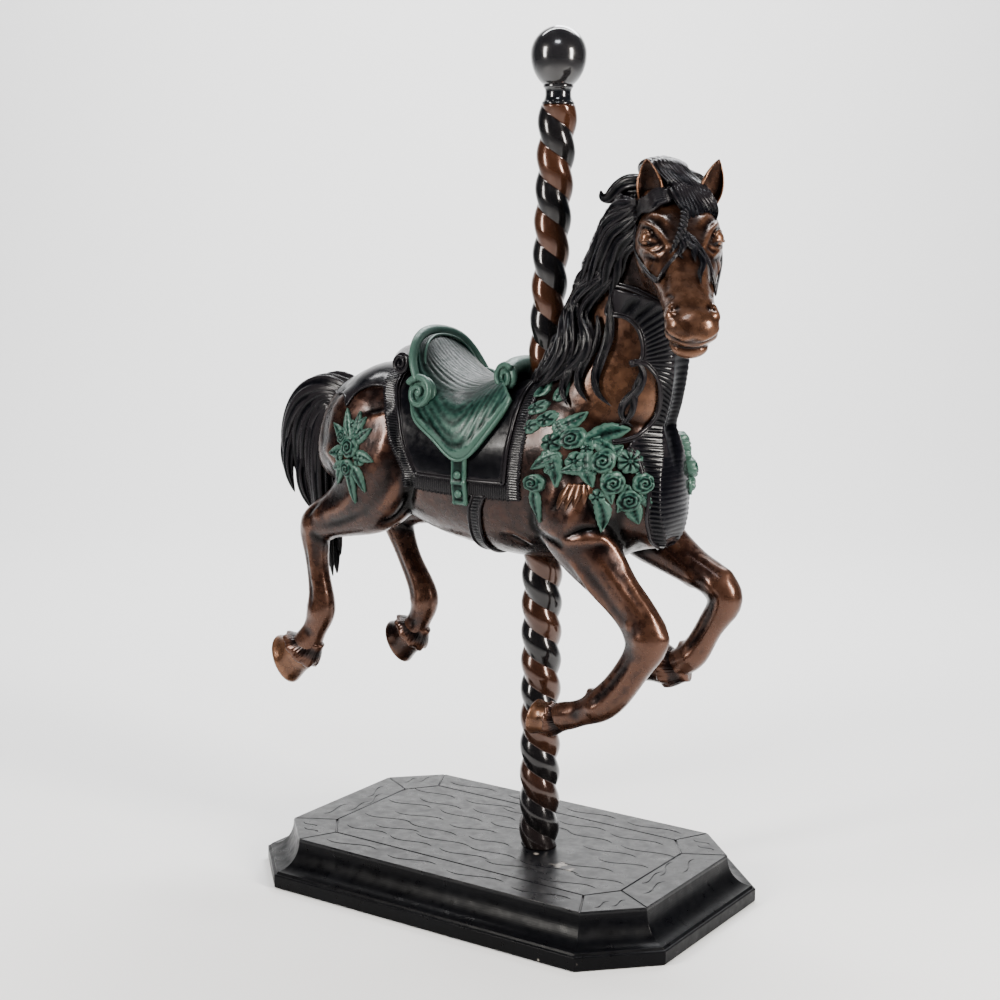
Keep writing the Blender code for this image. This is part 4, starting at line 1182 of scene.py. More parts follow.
# strokes on both sides of the head: path with v for the near side, width, height
faceStrokes = {
    "eyes and cheeks": metres((
        (((60, -70, 20), (93, -64, 40), (117, -53, 47), (141, -43, 48), (168, -34, 45)), 5.2, 7.5),
        (((98, -71, 34), (118, -60, 42), (140, -48, 44)), 5, -4),
        (((70, -58, 46), (96, -40, 56), (118, -30, 57)), 8, 4.6),
        (((102, -80, 12), (130, -71, 22), (150, -56, 36)), 5, -5),
        (((120, -77, 10), (140, -70, 21), (156, -58, 31), (160, -45, 41)), 3.8, 4),
        (((138, -73, 10), (158, -63, 24), (174, -52, 30), (175, -42, 39)), 3.6, 3.4),
        (((148, -70, 6), (168, -61, 16), (184, -51, 23)), 3.4, -2.2),
        (((150, -70, -6), (180, -62, 4)), 12, 5),
        (((150, -73, -14), (185, -62, -8), (225, -54, -6)), 10, 4.8),
        (((160, -30, 51), (215, -28, 40), (270, -26, 32)), 11, 3.6),
        (((175, -50, 30), (220, -46, 22), (268, -44, 14)), 10, -3.4),
        (((90, -80, -20), (130, -78, -30), (156, -68, -60), (140, -56, -95)), 8, -4),
        (((40, -72, -20), (30, -66, -60), (60, -60, -94), (110, -50, -108)), 9, 4),
        (((196, -58, -36), (240, -49, -34), (285, -50, -30)), 7, -3.6),
    )),
    "nostril, a rim that curls over a hollow": metres((
        (((330, -49, 6), (318, -50, 16), (302, -42, 26), (300, -30, 30), (312, -22, 28)), 5.2, 3),
        (((316, -43, 13), (318, -34, 18)), 8, -12.5),
        (((306, -50, -4), (322, -53, 0), (336, -48, 0)), 5, 3.5),
        (((290, -36, 22), (276, -40, 14), (268, -44, 4)), 5, -3),
    )),
    "mouth, a slit between two lips": metres((
        (((286, -52, -29), (318, -55, -24), (343, -52, -22), (360, -36, -25), (368, -14, -28),
          (370, 2, -29)), 3.6, -8.5),
        (((290, -52, -21), (318, -56, -15), (345, -52, -13), (362, -34, -15), (370, -12, -16)), 5.2, 4),
        (((290, -50, -39), (318, -53, -34), (342, -49, -33), (358, -34, -36), (366, -12, -38)), 5.5, 3.4),
        (((334, -34, -60), (352, -14, -58)), 9, 3),
    )),
}


def headAxes():
    # unit vectors along the head, to its left and out of its forehead, as rows
    c = math.cos(-head["turn"])
    s = math.sin(-head["turn"])
    turn = np.array(((c, -s, 0), (s, c, 0), (0, 0, 1)))
    down = math.sin(head["tilt"])
    level = math.cos(head["tilt"])
    return np.array([turn @ (level, 0, -down), turn @ (0, 1, 0), turn @ (down, 0, level)])


def headPoint(points):
    # the sum of the head's axes, each times a point's own number, from the poll
    return np.asarray(points, float) @ headAxes() + head["poll"]


def toWorld(shape):
    # the shape carried from the head's axes to the world's
    return shape | {"points": headPoint(shape["points"])}


def lid(side, height):
    # a bar over the eyeball: at the angle p along the opening and q above it, with q the height times the
    # cosine of p, the point is the radius times (sine p along, cosine p sine q up, cosine p cosine q out)
    along = np.array((0.705, -side * 0.488, 0.515))
    up = np.array((-0.69, -side * 0.303, 0.657))
    out = np.array((0.164, side * 0.819, 0.551))
    p = np.radians(np.linspace(-66, 66, 20))[:, None]
    q = np.radians(height) * np.cos(p) ** 0.6
    arc = along * np.sin(p) + np.cos(p) * (up * np.sin(q) + out * np.cos(q))
    u, v, w = head["eye"]
    path = arc * (head["eyeRadius"] + 0.0006) + np.array((u, side * v, w))
    return tube(carried(path, out, circle(12) * (0.0036 - 0.0018 * np.sin(p) ** 2)[:, :, None]))


def sideBall(side, centre, radii, sides):
    # a ball whose middle is given for the left side
    return ball(np.array(centre) * (1, side, 1), radii, sides)


def buildHead():
    # the skull's loft, lids and swells fused, brushed with every stroke and eased
    shapes = [loft(atSide(head["skull"], 0), 70, 64, 2.3)]
    for side in (near, far):
        shapes.append(sideBall(side, *head["socket"]))
        shapes += [lid(side, height) for height in head["lids"]]
        shapes += [sideBall(side, *swell) for swell in head["swells"]]
    shapes += [ball(centre, radii, 30) for centre, radii in head["muzzle"]]
    shape = fused(shapes, head["voxel"], head["easing"])
    normals = pointNormals(shape)
    for strokes in faceStrokes.values():
        for path, width, height in strokes:
            for line in mirrorPair(path):
                brush(shape, normals, line, width, height)
    soften(shape)
    shape["marks"][:, 3] = head["tint"]
    return toWorld(shape)


def buildEyes():
    # each eye a ball under its lids
    shape = joined([sideBall(side, head["eye"], (head["eyeRadius"],) * 3, 48) for side in (near, far)])
    shape["marks"][:, 3] = head["eyeTint"]
    return toWorld(shape)


def buildEars():
    # A cupped leaf: across it the angle runs from rim to rim of a U that opens forward and outward, its
    # width and depth sines along the ear
    shapes = []
    t = np.linspace(0, 1, 36)[:, None]
    for side in (near, far):
        line = smoothRows(head["ear"], 36) * (1, side, 1)
        line[:, 1] += 0.002 + 0.007 * t[:, 0]
        wide = 0.027 * np.sin(math.pi * (0.18 + 0.815 * t)) ** 0.8
        deep = 0.015 * np.sin(math.pi * (0.3 + 0.695 * t)) ** 0.9
        angle = np.radians(112) * np.linspace(-1, 1, 33)[None]
        facing = unit(np.array((0.93, side * 0.3, 0.15)))
        run = unit(np.gradient(line, axis=0))
        cup = unit(facing - run * (run @ facing)[:, None])
        across = np.cross(run, cup)
        grids = []
        for shrink in (0.0, 0.003):
            w = np.maximum(wide - shrink, 0.0004)
            d = np.maximum(deep - shrink, 0.0004)
            grid = line[:, None] + across[:, None] * (w * np.sin(angle))[..., None]
            grids.append(grid - cup[:, None] * (d * np.cos(angle) - 0.2 * d)[..., None])
        shape = slab(grids[0], grids[1])
        rim = np.tile(np.broadcast_to(np.abs(np.linspace(-1, 1, 33)), (36, 33)).ravel(), 2)
        shape["marks"][:, 3] = eased(0.8, 0.98, rim) * 0.5 + 0.45
        shapes.append(shape)
    return toWorld(joined(shapes))


# Mane: locks laid on the neck by their share of its length and the angle round it

mane = {
    "crest": metres((
        (186, 0, 1180), (190, 0, 1245), (214, -3, 1312), (238, -8, 1380), (264, -16, 1440),
        (302, -26, 1494), (352, -32, 1532),
    )),
    "flick": metres((
        (345, -46, 1515), (306, -48, 1516), (274, -46, 1499), (254, -43, 1489), (242, -40, 1494),
        (240, -40, 1504),
    )),
    "rows": 240,  # places along the neck that a lock can be laid at
    # hooked curls: share of the neck and half width
    "hooks": ((0.97, 0.016), (0.9, 0.018), (0.82, 0.019), (0.74, 0.019), (0.66, 0.018), (0.57, 0.016)),
    "seed": 11,
}
# near locks: pairs of the neck's hundredths and degrees (90 the crest, 180 the near side), lift and half
# width in millimetres, strands
nearLocks = (
    (((72, 150), (62, 126), (54, 112), (46, 112), (40, 132), (31, 142), (20, 132), (13, 112)), 12, 30, 7),
    (((70, 158), (62, 140), (52, 130), (44, 138), (34, 150), (22, 146), (12, 128)), 12, 26, 6),
    (((71, 169), (60, 154), (52, 152), (46, 164), (37, 168), (28, 160), (20, 146)), 10, 18, 5),
    (((64, 172), (56, 180), (49, 184), (40, 182), (33, 184), (27, 194), (25, 204)), 8, 12, 4),
    (((55, 166), (48, 174), (41, 174), (34, 170), (28, 174), (22, 186)), 8, 12, 4),
    (((44, 214), (40, 222), (35, 223), (29, 213), (25, 215), (22, 228)), 7, 10, 4),
    (((42, 221), (36, 219), (29, 221), (24, 222), (20, 215)), 6, 8, 3),
    (((46, 150), (38, 160), (30, 160), (22, 164), (16, 176)), 8, 13, 4),
    (((102, 161), (95, 124), (84, 116), (74, 116), (64, 116)), 16, 26, 7),
    (((100, 164), (88, 132), (76, 122), (68, 126), (56, 116)), 18, 24, 6),
    (((98, 172), (86, 148), (76, 140), (68, 144), (60, 134)), 16, 22, 6),
    (((94, 178), (84, 164), (76, 158), (70, 162), (64, 156)), 12, 18, 5),
    (((90, 182), (82, 172), (75, 170), (69, 174), (64, 170)), 8, 14, 5),
)
hairLook = {
    "stops": (
        (0.15, (0.0006, 0.0006, 0.0009)),
        (0.5, (0.0016, 0.0016, 0.0024)),
        (0.8, (0.003, 0.0029, 0.0042)),
        (0.97, (0.011, 0.0095, 0.011)),
    ),
    "other": ((0.2, (0.006, 0.003, 0.002)), (0.6, (0.034, 0.013, 0.007)), (0.95, (0.09, 0.04, 0.02))),
    "patches": (9.0, 0.1, 0.06),
    "rough": (0.15, 0.26),
    "shineWithHollowShade": (0.01, 0.17),
    "metallic": 0.06,
    "coat": (0.035, 0.1),
    "dents": (60.0, 0.15, 0.0012),
    "grain": ((7.0, 7.0, 6.0), 0.8, 0.0022),
}


def neckFrame():
    # the neck's middle line with its side and upward directions, as in its loft
    rows = smoothRows(body["neck"], mane["rows"] + 1)
    run = unit(np.gradient(rows[:, :3], axis=0))
    side = unit(np.array((0, 1.0, 0)) - run * run[:, 1:2])
    return rows, run, side, np.cross(run, side)


def onNeck(frames, pairs, lift):
    # points on the neck at (share, angle) pairs, and the way out of the skin there
    rows, run, side, up = frames
    pairs = np.asarray(pairs, float)
    place = np.clip(pairs[:, 0], 0, 1.06) * mane["rows"]
    low = np.clip(place.astype(int), 0, mane["rows"] - 1)
    part = (place - low)[:, None]
    row = rows[low] * (1 - part) + rows[low + 1] * part
    turn = np.radians(pairs[:, 1])
    wide = powerWave(np.cos(turn), 2.2) * (row[:, 3] + lift)
    tall = powerWave(np.sin(turn), 2.2) * (np.where(np.sin(turn) > 0, row[:, 4], row[:, 5]) + lift)
    s = side[low]
    u = up[low]
    out = s * np.cos(turn)[:, None] + u * np.sin(turn)[:, None]
    return row[:, :3] + s * wide[:, None] + u * tall[:, None], out


def neckLock(frames, pairs, lift, wide, strands, twist=2.2):
    # a lock laid on the neck, facing the way out of its skin
    path, out = onNeck(frames, pairs, lift)
    facing = smoothRows(np.column_stack([path, out]), 26)[:, 3:6]
    path = smoothRows(path, 26)
    wave = wide * 0.32
    return lock(path, facing, wide, wide * 0.66, strands, 0.42, twist, 26, 6 * strands, 0.06, 0.0, wave)


def fallen(share, falls, angles, least=0.04, most=1.05):
    # pairs of share and angle down from a share of the neck, kept on it
    return np.stack([np.clip(share - np.array(falls), least, most), angles], axis=1)


def buildMane():
    # the crest's mass and flick, the listed near locks, then rows of short, hooked and long locks by dice
    frames = neckFrame()
    dice = np.random.default_rng(mane["seed"])
    crest = smoothRows(mane["crest"], 40)
    shapes = [lock(crest, (-1, 0, 0.5), 0.05, 0.036, 9, 0.3, 3.0, 48, 60, 0.3)]
    shapes.append(lock(np.array(mane["flick"]), (0, -1, 0.3), 0.021, 0.015, 6, 0.4, 1.0, 34, 36, 0.3))
    for pairs, lift, wide, strands in nearLocks:
        pairs = np.array(pairs) / (100, 1)
        shapes.append(neckLock(frames, pairs, lift / 1000, wide / 1000, strands))
    for side in (near, far):
        for i in range(12):  # short locks that fall from the crest, leaning back and then curling in
            share = 0.99 - 0.068 * i
            swing = dice.uniform(-1, 1)
            drop = (54 if side == near else 74) + 9 * swing
            if side == near and share < 0.55:
                drop = 34 + 6 * swing
            angles = 90 - side * np.array((2, 0.34 * drop, 0.66 * drop, 0.86 * drop, drop))
            pairs = fallen(share, (0, 0.055, 0.13, 0.185, 0.215 + 0.02 * swing), angles)
            shapes.append(neckLock(frames, pairs, 0.013, 0.022, 5, 2.4 + swing))
    for share, wide in mane["hooks"]:
        for side in (near, far):  # hooked curls along the back edge
            angles = 90 - side * np.array((36, 16, 0, -10, -2, 12))
            pairs = fallen(share, (-0.04, -0.01, 0.03, 0.075, 0.105, 0.095), angles)
            shapes.append(neckLock(frames, pairs, 0.025, wide, 5, 2.6 + dice.uniform(-0.5, 0.5)))
    for i in range(7):  # long far locks
        reach = np.array((30, 8, -4, -2, -10)) + dice.uniform(-6, 6)
        pairs = fallen(0.9 - 0.1 * i, (0, 0.09, 0.17, 0.25, 0.31), reach, 0.03, 1)
        shapes.append(neckLock(frames, pairs, 0.009, 0.017, 5))
    return joined(shapes)


def headLock(points, wide, strands, twist, facing=(0.3, 0, 1.0)):
    # a lock laid on the head, its points given along the head's own axes
    path = headPoint(points)
    facing = np.asarray(facing, float) @ headAxes()
    wave = wide * 0.3
    return lock(path, facing, wide, wide * 0.62, strands, 0.42, twist, 30, 6 * strands, 0.08, 0.0, wave)


def buildForelock():
    # a cap of hair between the ears, locks swept over the brow to the far side, and short ones round them
    cap = ball((-0.04, -0.014, 0.046), (0.048, 0.036, 0.046), 34)
    shapes = [toWorld(cap)]
    for i in range(9):
        t = i / 8
        root = -0.04 + 0.052 * t
        tip = 0.0 + 0.066 * t
        drop = 0.08 - 0.022 * t + 0.01 * math.sin(5 * t)
        rise = 0.094 - 14 * (root + 0.022) ** 2
        points = (
            (-0.066, root * 0.8 - 0.006, rise - 0.02), (-0.034, root, rise + 0.004),
            (0.004, root * (0.4 + 0.2 * t) + tip * 0.4, rise - 0.006 - 0.006 * (1 - t)),
            (0.042, root * 0.2 + tip * 0.8, 0.077 - 0.008 * t), (drop, tip + 0.006, 0.068 - 0.022 * t),
            (drop + 0.026, tip - 0.004, 0.061 - 0.026 * t),
        )
        shapes.append(headLock(points, 0.0135, 5, 2.6 - t))
    for i in range(6):  # from the parting across the brow to the near ear
        t = i / 5
        points = (
            (0.022 + 0.026 * t, -0.014, 0.075 - 0.004 * t), (0.026 + 0.03 * t, -0.034, 0.071 - 0.004 * t),
            (0.024 + 0.032 * t, -0.054, 0.06 - 0.004 * t), (0.022 + 0.028 * t, -0.071, 0.041 - 0.003 * t),
            (0.024 + 0.02 * t, -0.08, 0.024),
        )
        shapes.append(headLock(points, 0.0095, 3, 2.0, (0.4, -0.5, 1.0)))
    for i in range(7):  # over the poll to the back of the neck
        v = -0.016 + 0.027 * (i / 3 - 1)
        top = 0.084 - 10 * (v + 0.022) ** 2
        points = (
            (0.002, v, top - 0.03), (-0.03, v, top - 0.008), (-0.062, 1.1 * v, top - 0.004),
            (-0.09, 1.2 * v, 0.052), (-0.098, 1.1 * v, 0.004), (-0.09, v, -0.034),
        )
        shapes.append(headLock(points, 0.0155, 5, 2.0, (-0.5, 0.4 * np.sign(v + 0.02), 1.0)))
    for i in range(7):  # hair behind the near ear and down to the jaw
        t = i / 6
        points = (
            (-0.052, -0.026 - 0.01 * t, 0.062 - 0.014 * t), (-0.062 + 0.01 * t, -0.056, 0.04 - 0.024 * t),
            (-0.052 + 0.014 * t, -0.072 - 0.006 * t, 0.012 - 0.04 * t),
            (-0.034 + 0.02 * t, -0.078, -0.03 - 0.04 * t), (-0.03 + 0.014 * t, -0.074, -0.066 - 0.034 * t),
        )
        for line, side in zip(mirrorPair(points), (near, far)):
            shapes.append(headLock(line, 0.0135, 4, 1.2, (-0.3, side, 0.2)))
    return joined(shapes)


# Tail: locks that fill the space between an outer arc and an inner one

tail = {
    "outer": metres((
        (-420, 0, 1046), (-470, 0, 1062), (-518, 0, 1054), (-556, 0, 1030), (-584, 0, 988), (-601, 0, 940),
        (-604, 0, 888),
    )),
    "inner": metres((
        (-420, 0, 1015), (-452, 0, 1030), (-482, 0, 1008), (-498, 0, 962), (-502, 0, 900), (-496, 0, 830),
        (-476, 0, 730),
    )),
    "seed": 7,
}
# loose ends of the tail: path, half width
tailEnds = metres((
    (((-582, -12, 1000), (-602, -14, 935), (-608, -16, 885), (-602, -20, 858)), 16),
    (((-560, -24, 980), (-582, -28, 910), (-580, -30, 850), (-566, -30, 815)), 18),
    (((-530, -24, 930), (-545, -28, 870), (-535, -28, 810), (-515, -24, 775)), 18),
    (((-500, 8, 850), (-490, 12, 780), (-476, 15, 715), (-470, 16, 672)), 19),
))


def buildTail():
    # Wide combed locks: each one's path is a mix of the arcs, set aside by its layer; inner ones hang lower
    dice = np.random.default_rng(tail["seed"])
    outer = smoothRows(tail["outer"], 8)
    inner = smoothRows(tail["inner"], 8)
    share = np.linspace(0, 1, 8)[:, None]
    shapes = []
    for y, count in ((-0.026, 6), (0.0, 5), (0.026, 6)):
        for i in range(count):
            mix = (i + 0.15) / (count - 0.7)
            path = inner * (1 - mix) + outer * mix
            low = -0.1 * (1 - mix) ** 1.5 - 0.012 + dice.uniform(-0.008, 0.008)
            hook = 0.03 * (1 - mix) * mix * 4 - 0.004
            path = path + share**2.2 * np.array((hook, 0, low))
            path[:, 1] += y * np.sin(math.pi * (0.14 + 0.66 * share[:, 0]))
            facing = unit(np.array((-0.35, -1.0 if y <= 0 else 1.0, 0.1)))
            shapes.append(lock(path, facing, 0.034, 0.02, 7, 0.22, dice.uniform(-0.3, 0.4), 34, 49, 0.4))
    core = smoothRows(0.5 * (outer + inner), 12)
    shapes.append(lock(core, (0, -1, 0), 0.056, 0.034, 11, 0.22, 0.3, 30, 66, 0.45))
    for points, wide in tailEnds:
        shapes.append(lock(np.array(points), (-0.3, -1, 0), wide, wide * 0.75, 6, 0.36, 0.5, 30, 36, 0.25))
    return joined(shapes)


# Blanket with its fringe and cord, girth, crupper and bolster, all black

# blanket borders: degrees from the top of the back, back edge's x and front edge's x in millimetres
blanketEdge = (
    (0, -235, 100), (22, -232, 103), (36, -221, 101), (63, -184, 99), (81, -165, 94), (103, -136, 89),
)
blanket = {
    "low": 103.0,  # degrees down to the lower border
    "lift": 0.0065,
    "fringe": 0.034,
    "fringeDegrees": 13.2,
    "rib": 0.0052,
    "ribHeight": 0.0028,
    "cords": ((0.0032, 1.0), (0.0017, 0.955)),  # radius, and size of the loop beside the border's
}


def blanketBorder(degrees):
    # x of the back and front edges, in straight lines between the table's rows
    table = np.array(blanketEdge) / (1, 1000, 1000)
    away = np.abs(np.asarray(degrees, float) - 90)
    return np.interp(away, table[:, 0], table[:, 1]), np.interp(away, table[:, 0], table[:, 2])


def strip(barrel, x, angle, lift, depth=0.006):
    # a slab on the barrel: its skin at the lift, its lining as far below as the depth
    return slab(onBarrel(barrel, x, angle, lift), onBarrel(barrel, x, angle, np.asarray(lift) - depth))


def ribbed(phase, height):
    # rounded ribs: the size of a sine to the power 0.6
    return height * np.abs(np.sin(math.pi * phase)) ** 0.6


def fringeLift(phase, fade):
    # the skin under a fringe: ribs, less high where they fade
    return 0.0018 + ribbed(phase, blanket["ribHeight"]) * fade


def buildBlanket(barrel):
    # the cloth between its two borders, fringes past all four edges, and two cords round it
    low = 90 - blanket["low"]
    high = 180 - low
    angle = np.linspace(low, high, 100)[:, None]
    back, front = blanketBorder(angle)
    share = np.linspace(0, 1, 40)[None]
    shapes = [strip(barrel, back + (front - back) * share, angle, blanket["lift"])]
    for way, edge in ((-1, 0), (1, 1)):
        skirt = np.linspace(low - 13.0, high + 13.0, 620)[:, None]
        start = blanketBorder(np.clip(skirt, low, high))[edge]
        out = np.linspace(-0.004, 1, 6)[None]
        ragged = 1 + 0.05 * np.sin(skirt * 2.9) * np.sin(skirt * 1.3)
        lift = fringeLift(skirt * 0.51 + 0.25 * out, (1.1 - 0.3 * out) * eased(-0.1, 0.2, out))
        x = start + way * blanket["fringe"] * out * ragged + 0.0012 * np.sin(skirt * 3.7)
        shapes.append(strip(barrel, x, skirt, lift, 0.005))
    start, end = blanketBorder(low)
    x = start - 0.01 + (end - start + 0.02) * np.linspace(0, 1, 300)[:, None]
    out = np.linspace(-0.01, 1, 6)[None]
    lift = fringeLift((x - start) / blanket["rib"] + 0.3 * out, eased(-0.1, 0.2, out))
    degrees = low - blanket["fringeDegrees"] * out * (1 + 0.05 * np.sin(x * 900) * np.sin(x * 370))
    for side in (near, far):
        shapes.append(strip(barrel, x, degrees if side == near else 180 - degrees, lift, 0.005))
    rim = np.linspace(low, high, 160)
    back, front = blanketBorder(rim)
    top = np.linspace(back[-1], front[-1], 20)[1:-1]
    bottom = np.linspace(front[0], back[0], 20)[1:-1]
    along = np.concatenate([back, top, front[::-1], bottom])
    around = np.concatenate([rim, np.full(18, high), rim[::-1], np.full(18, low)])
    border = onBarrel(barrel, along, around, blanket["lift"])
    middle = np.array((-0.05, 0, 0))
    for radius, shrink in blanket["cords"]:
        loop = (border - middle) * (shrink, 1, 1) + middle
        run = unit(np.roll(loop, -1, axis=0) - np.roll(loop, 1, axis=0))
        up = outOfBarrel(loop)
        side = unit(np.cross(up, run))
        outline = circle(8, radius)
        shapes.append(ring(loop[:, None] + side[:, None] * outline[:, 0:1] + up[:, None] * outline[:, 1:2]))
    return joined(shapes)


def buildGirth(barrel):
    # the girth's middle leans forward on its way down; two cords edge a ribbed band
    degrees = np.linspace(-24, -156, 300)
    away = 90 - np.abs(degrees + 90)
    middle = np.interp(away, (0, 18, 34, 60, 90), (0.05, 0.034, 0.01, -0.008, -0.014))
    across = np.linspace(-1, 1, 9)[None]
    half = 0.0135
    lift = 0.0035 + ribbed(degrees[:, None] * 0.4, 0.002) * (1 - across**4)
    shapes = [strip(barrel, middle[:, None] + half * across, degrees[:, None], lift)]
    for side in (-1, 1):
        path = onBarrel(barrel, middle[::4] + side * half, degrees[::4], 0.0045)
        shapes.append(cord(path, outOfBarrel(path), 0.0034, 10))
    return joined(shapes)


def buildCrupper(barrel):
    # a patch from the blanket to the dock with a point on each side, edged with a cord
    x = np.linspace(-0.428, -0.24, 60)
    point = 13 * np.exp(-((np.abs(x + 0.325) / 0.013) ** 1.2))
    reach = 41 + 4 * np.cos((x + 0.34) * 40) + point - 10 * eased(-0.39, -0.43, x)
    across = np.linspace(-1, 1, 40)[None]
    shapes = [strip(barrel, x[:, None], 90 + reach[:, None] * across, 0.003)]
    for side in (-1, 1):
        path = onBarrel(barrel, x, 90 + side * reach, 0.003)
        shapes.append(cord(path, outOfBarrel(path), 0.0022))
    return joined(shapes)


def squareTo(out):
    # the way out, and level and upright ways square to it
    out = unit(np.array(out, float))
    across = unit(np.cross((0, 0, 1.0), out))
    return out, across, np.cross(out, across)


def spiral(centre, out, radius, turns, thick, rise, lead, way):
    # a scroll: a bar that winds in round the centre, its radius falling and its middle rising
    out, across, up = squareTo(out)
    share = np.linspace(0, 1, 90)[:, None]
    turn = lead + way * tau * turns * share
    wind = radius * (1 - 0.9 * share**1.25)
    path = np.array(centre) + (across * np.cos(turn) + up * np.sin(turn)) * wind + out * rise * share
    size = thick * (1 - 0.45 * share)
    return tube(carried(path, out, circle(12) * size[..., None]))


def disc(centre, out, radius, depth):
    # a domed disc: rings whose radius is a cosine and height a sine, flattened
    out, across, up = squareTo(out)
    rise = np.linspace(-1.3, 1.5, 14)[:, None]
    turn = fullTurn(48)[None]
    wide = radius * np.cos(rise) ** 0.35
    place = across * (wide * np.cos(turn))[..., None] + up * (wide * np.sin(turn))[..., None]
    return tube(np.array(centre) + place + out * (depth * np.sin(rise) + 0 * turn)[..., None])


def arch(half):
    # points from the near side to the middle, and on to the far side as their mirror image
    return half + tuple((x, -y, z) for x, y, z in half[-2::-1])


def buildBolster():
    # a roll behind the saddle, with a scroll at each end
    path = arch(((-0.2, -0.108, 1.138), (-0.222, -0.06, 1.143), (-0.232, 0, 1.146)))
    shapes = [bar(path, (0.0215, 0.026, 0.028, 0.026, 0.0215), (0, 0, 1), 40, 30)]
    for side in (near, far):
        out = (-0.15, side, 0.1)
        shapes.append(disc((-0.199, side * 0.11, 1.14), out, 0.023, 0.006))
        shapes.append(spiral((-0.199, side * 0.116, 1.14), out, 0.0205, 1.7, 0.0046, 0.002, 0.5, side))
    return joined(shapes)


# Saddle: seat, flaps, cantle rim, scrolls and strap, in green

# seat line in millimetres: middle x and z, edge x, y and z, flap's lower edge x, and its degrees
seatRows = (
    (-194, 1200, -180, -78, 1184, -168, 44), (-176, 1184, -166, -96, 1160, -158, 39),
    (-150, 1160, -146, -108, 1125, -148, 32), (-118, 1136, -112, -113, 1098, -126, 24),
    (-82, 1117, -78, -114, 1086, -80, 14), (-46, 1108, -46, -113, 1082, -34, 3),
    (-18, 1110, -18, -109, 1086, 4, 4), (4, 1122, 6, -103, 1096, 38, 17),
    (20, 1136, 28, -95, 1110, 70, 36), (30, 1142, 42, -88, 1120, 80, 50),
)
saddle = {
    "columns": 100,
    "seatRows": 38,
    "flapRows": 28,
    "cover": 0.01,
    # near halves of the cantle's rim and the pommel's roll
    "rim": metres((
        (-146, -128, 1106), (-166, -116, 1146), (-181, -84, 1183), (-192, -40, 1200), (-196, 0, 1204),
    )),
    "roll": metres(((46, -86, 1126), (36, -45, 1138), (32, 0, 1142))),
    "strapX": -0.0165,
    "strapHalf": 0.0165,
}
greenLook = {
    "stops": (
        (0.2, (0.0005, 0.0018, 0.0016)),
        (0.42, (0.0016, 0.0082, 0.0062)),
        (0.62, (0.004, 0.0225, 0.0165)),
        (0.82, (0.0125, 0.047, 0.0345)),
        (0.97, (0.042, 0.09, 0.069)),
    ),
    "other": (
        (0.2, (0.0006, 0.0018, 0.0016)),
        (0.5, (0.0034, 0.0115, 0.0088)),
        (0.9, (0.0135, 0.031, 0.0245)),
    ),
    "patches": (11.0, 0.16, 0.11),
    "rough": (0.3, 0.5),
    "shineWithHollowShade": (0.02, 0.22),
    "metallic": 0.15,
    "coat": (0.07, 0.22),
    "dents": (120.0, 0.35, 0.0016),
}


def buildSaddle(barrel):
    # The seat runs from its middle line to its edge, x by the square of the share and z by its power 2.2;
    # the flap runs from the edge down the barrel to its lower edge, where it lies on the blanket
    rows = np.array(seatRows) / ((1000,) * 6 + (1,))
    knots = np.linspace(0, 1, len(rows))
    place = np.linspace(0, 1, saddle["columns"])
    spread = smoothRows(np.column_stack([knots, 0 * knots, 0 * knots, rows]), saddle["columns"])[:, 3:]
    middle = np.column_stack([spread[:, 0], 0 * place, spread[:, 1]])
    edge = spread[:, 2:5]
    s = np.linspace(0, 1, saddle["seatRows"])[:, None, None]
    seat = middle[None] + (edge - middle)[None] * np.concatenate([s**2, s, s**2.2], axis=2)
    fan = ribbed(11 * s[..., 0] + 0.35 * np.sin(7 * place + 9 * s[..., 0]), 0.0021)
    fade = eased(0.0, 0.06, place) * eased(1.0, 0.9, place) * eased(1.0, 0.86, s[..., 0])
    seat[..., 2] += fan * fade
    above = edge[:, 2] - skins["barrelZ"]
    angle = np.degrees(np.arctan2(above, -edge[:, 1]))
    rise = np.hypot(edge[:, 1], above) - looked(barrel, edge[:, 0], angle)
    f = np.linspace(0, 1, saddle["flapRows"])[1:, None]
    x = edge[:, 0] * (1 - f) + spread[:, 5] * f
    degrees = angle * (1 - f) + spread[:, 6] * f
    veins = ribbed(5.5 * f + 3.2 * place + 1.5 * np.sin(8 * place), 0.0011)
    veins = veins * eased(0, 0.25, f) * eased(1, 0.8, f)
    rim = 0.0022 * eased(0.8, 0.86, f) * eased(0.99, 0.93, f)
    cover = saddle["cover"] + blanket["lift"]
    bulge = 0.009 * np.sin(math.pi * f) * eased(0.2, 0.5, place)
    lift = rise * (1 - f) ** 1.6 + cover * (1 - (1 - f) ** 1.6) + bulge + veins + rim
    flap = onBarrel(barrel, x, degrees, lift)
    outer = np.concatenate([seat, flap])
    under = onBarrel(barrel, x, degrees, lift - 0.009)
    sunk = seat - np.array((0, 0, 0.016))
    sunk[..., 1] *= 0.92
    inner = np.concatenate([sunk, under])
    grey = eased(1.0, 0.9, np.concatenate([s[..., 0] + 0 * place, 0 * f + 1.0 + 0 * place]))
    grey = grey * eased(0.02, 0.07, place)
    flip = np.array((1, -1, 1))
    outer = np.concatenate([outer[:0:-1], outer * flip])
    inner = np.concatenate([inner[:0:-1], inner * flip])
    shape = slab(outer, inner)
    shape["marks"][:, 3] = np.tile(np.concatenate([grey[:0:-1], grey]).ravel(), 2)
    lower = onBarrel(barrel, spread[:, 5], spread[:, 6], cover + 0.001)
    shapes = [shape]
    for line, side in zip(mirrorPair(lower), (near, far)):
        shapes.append(bar(line[::5], 0.0036, (0, side, 0), 120, 10))
    return shapes


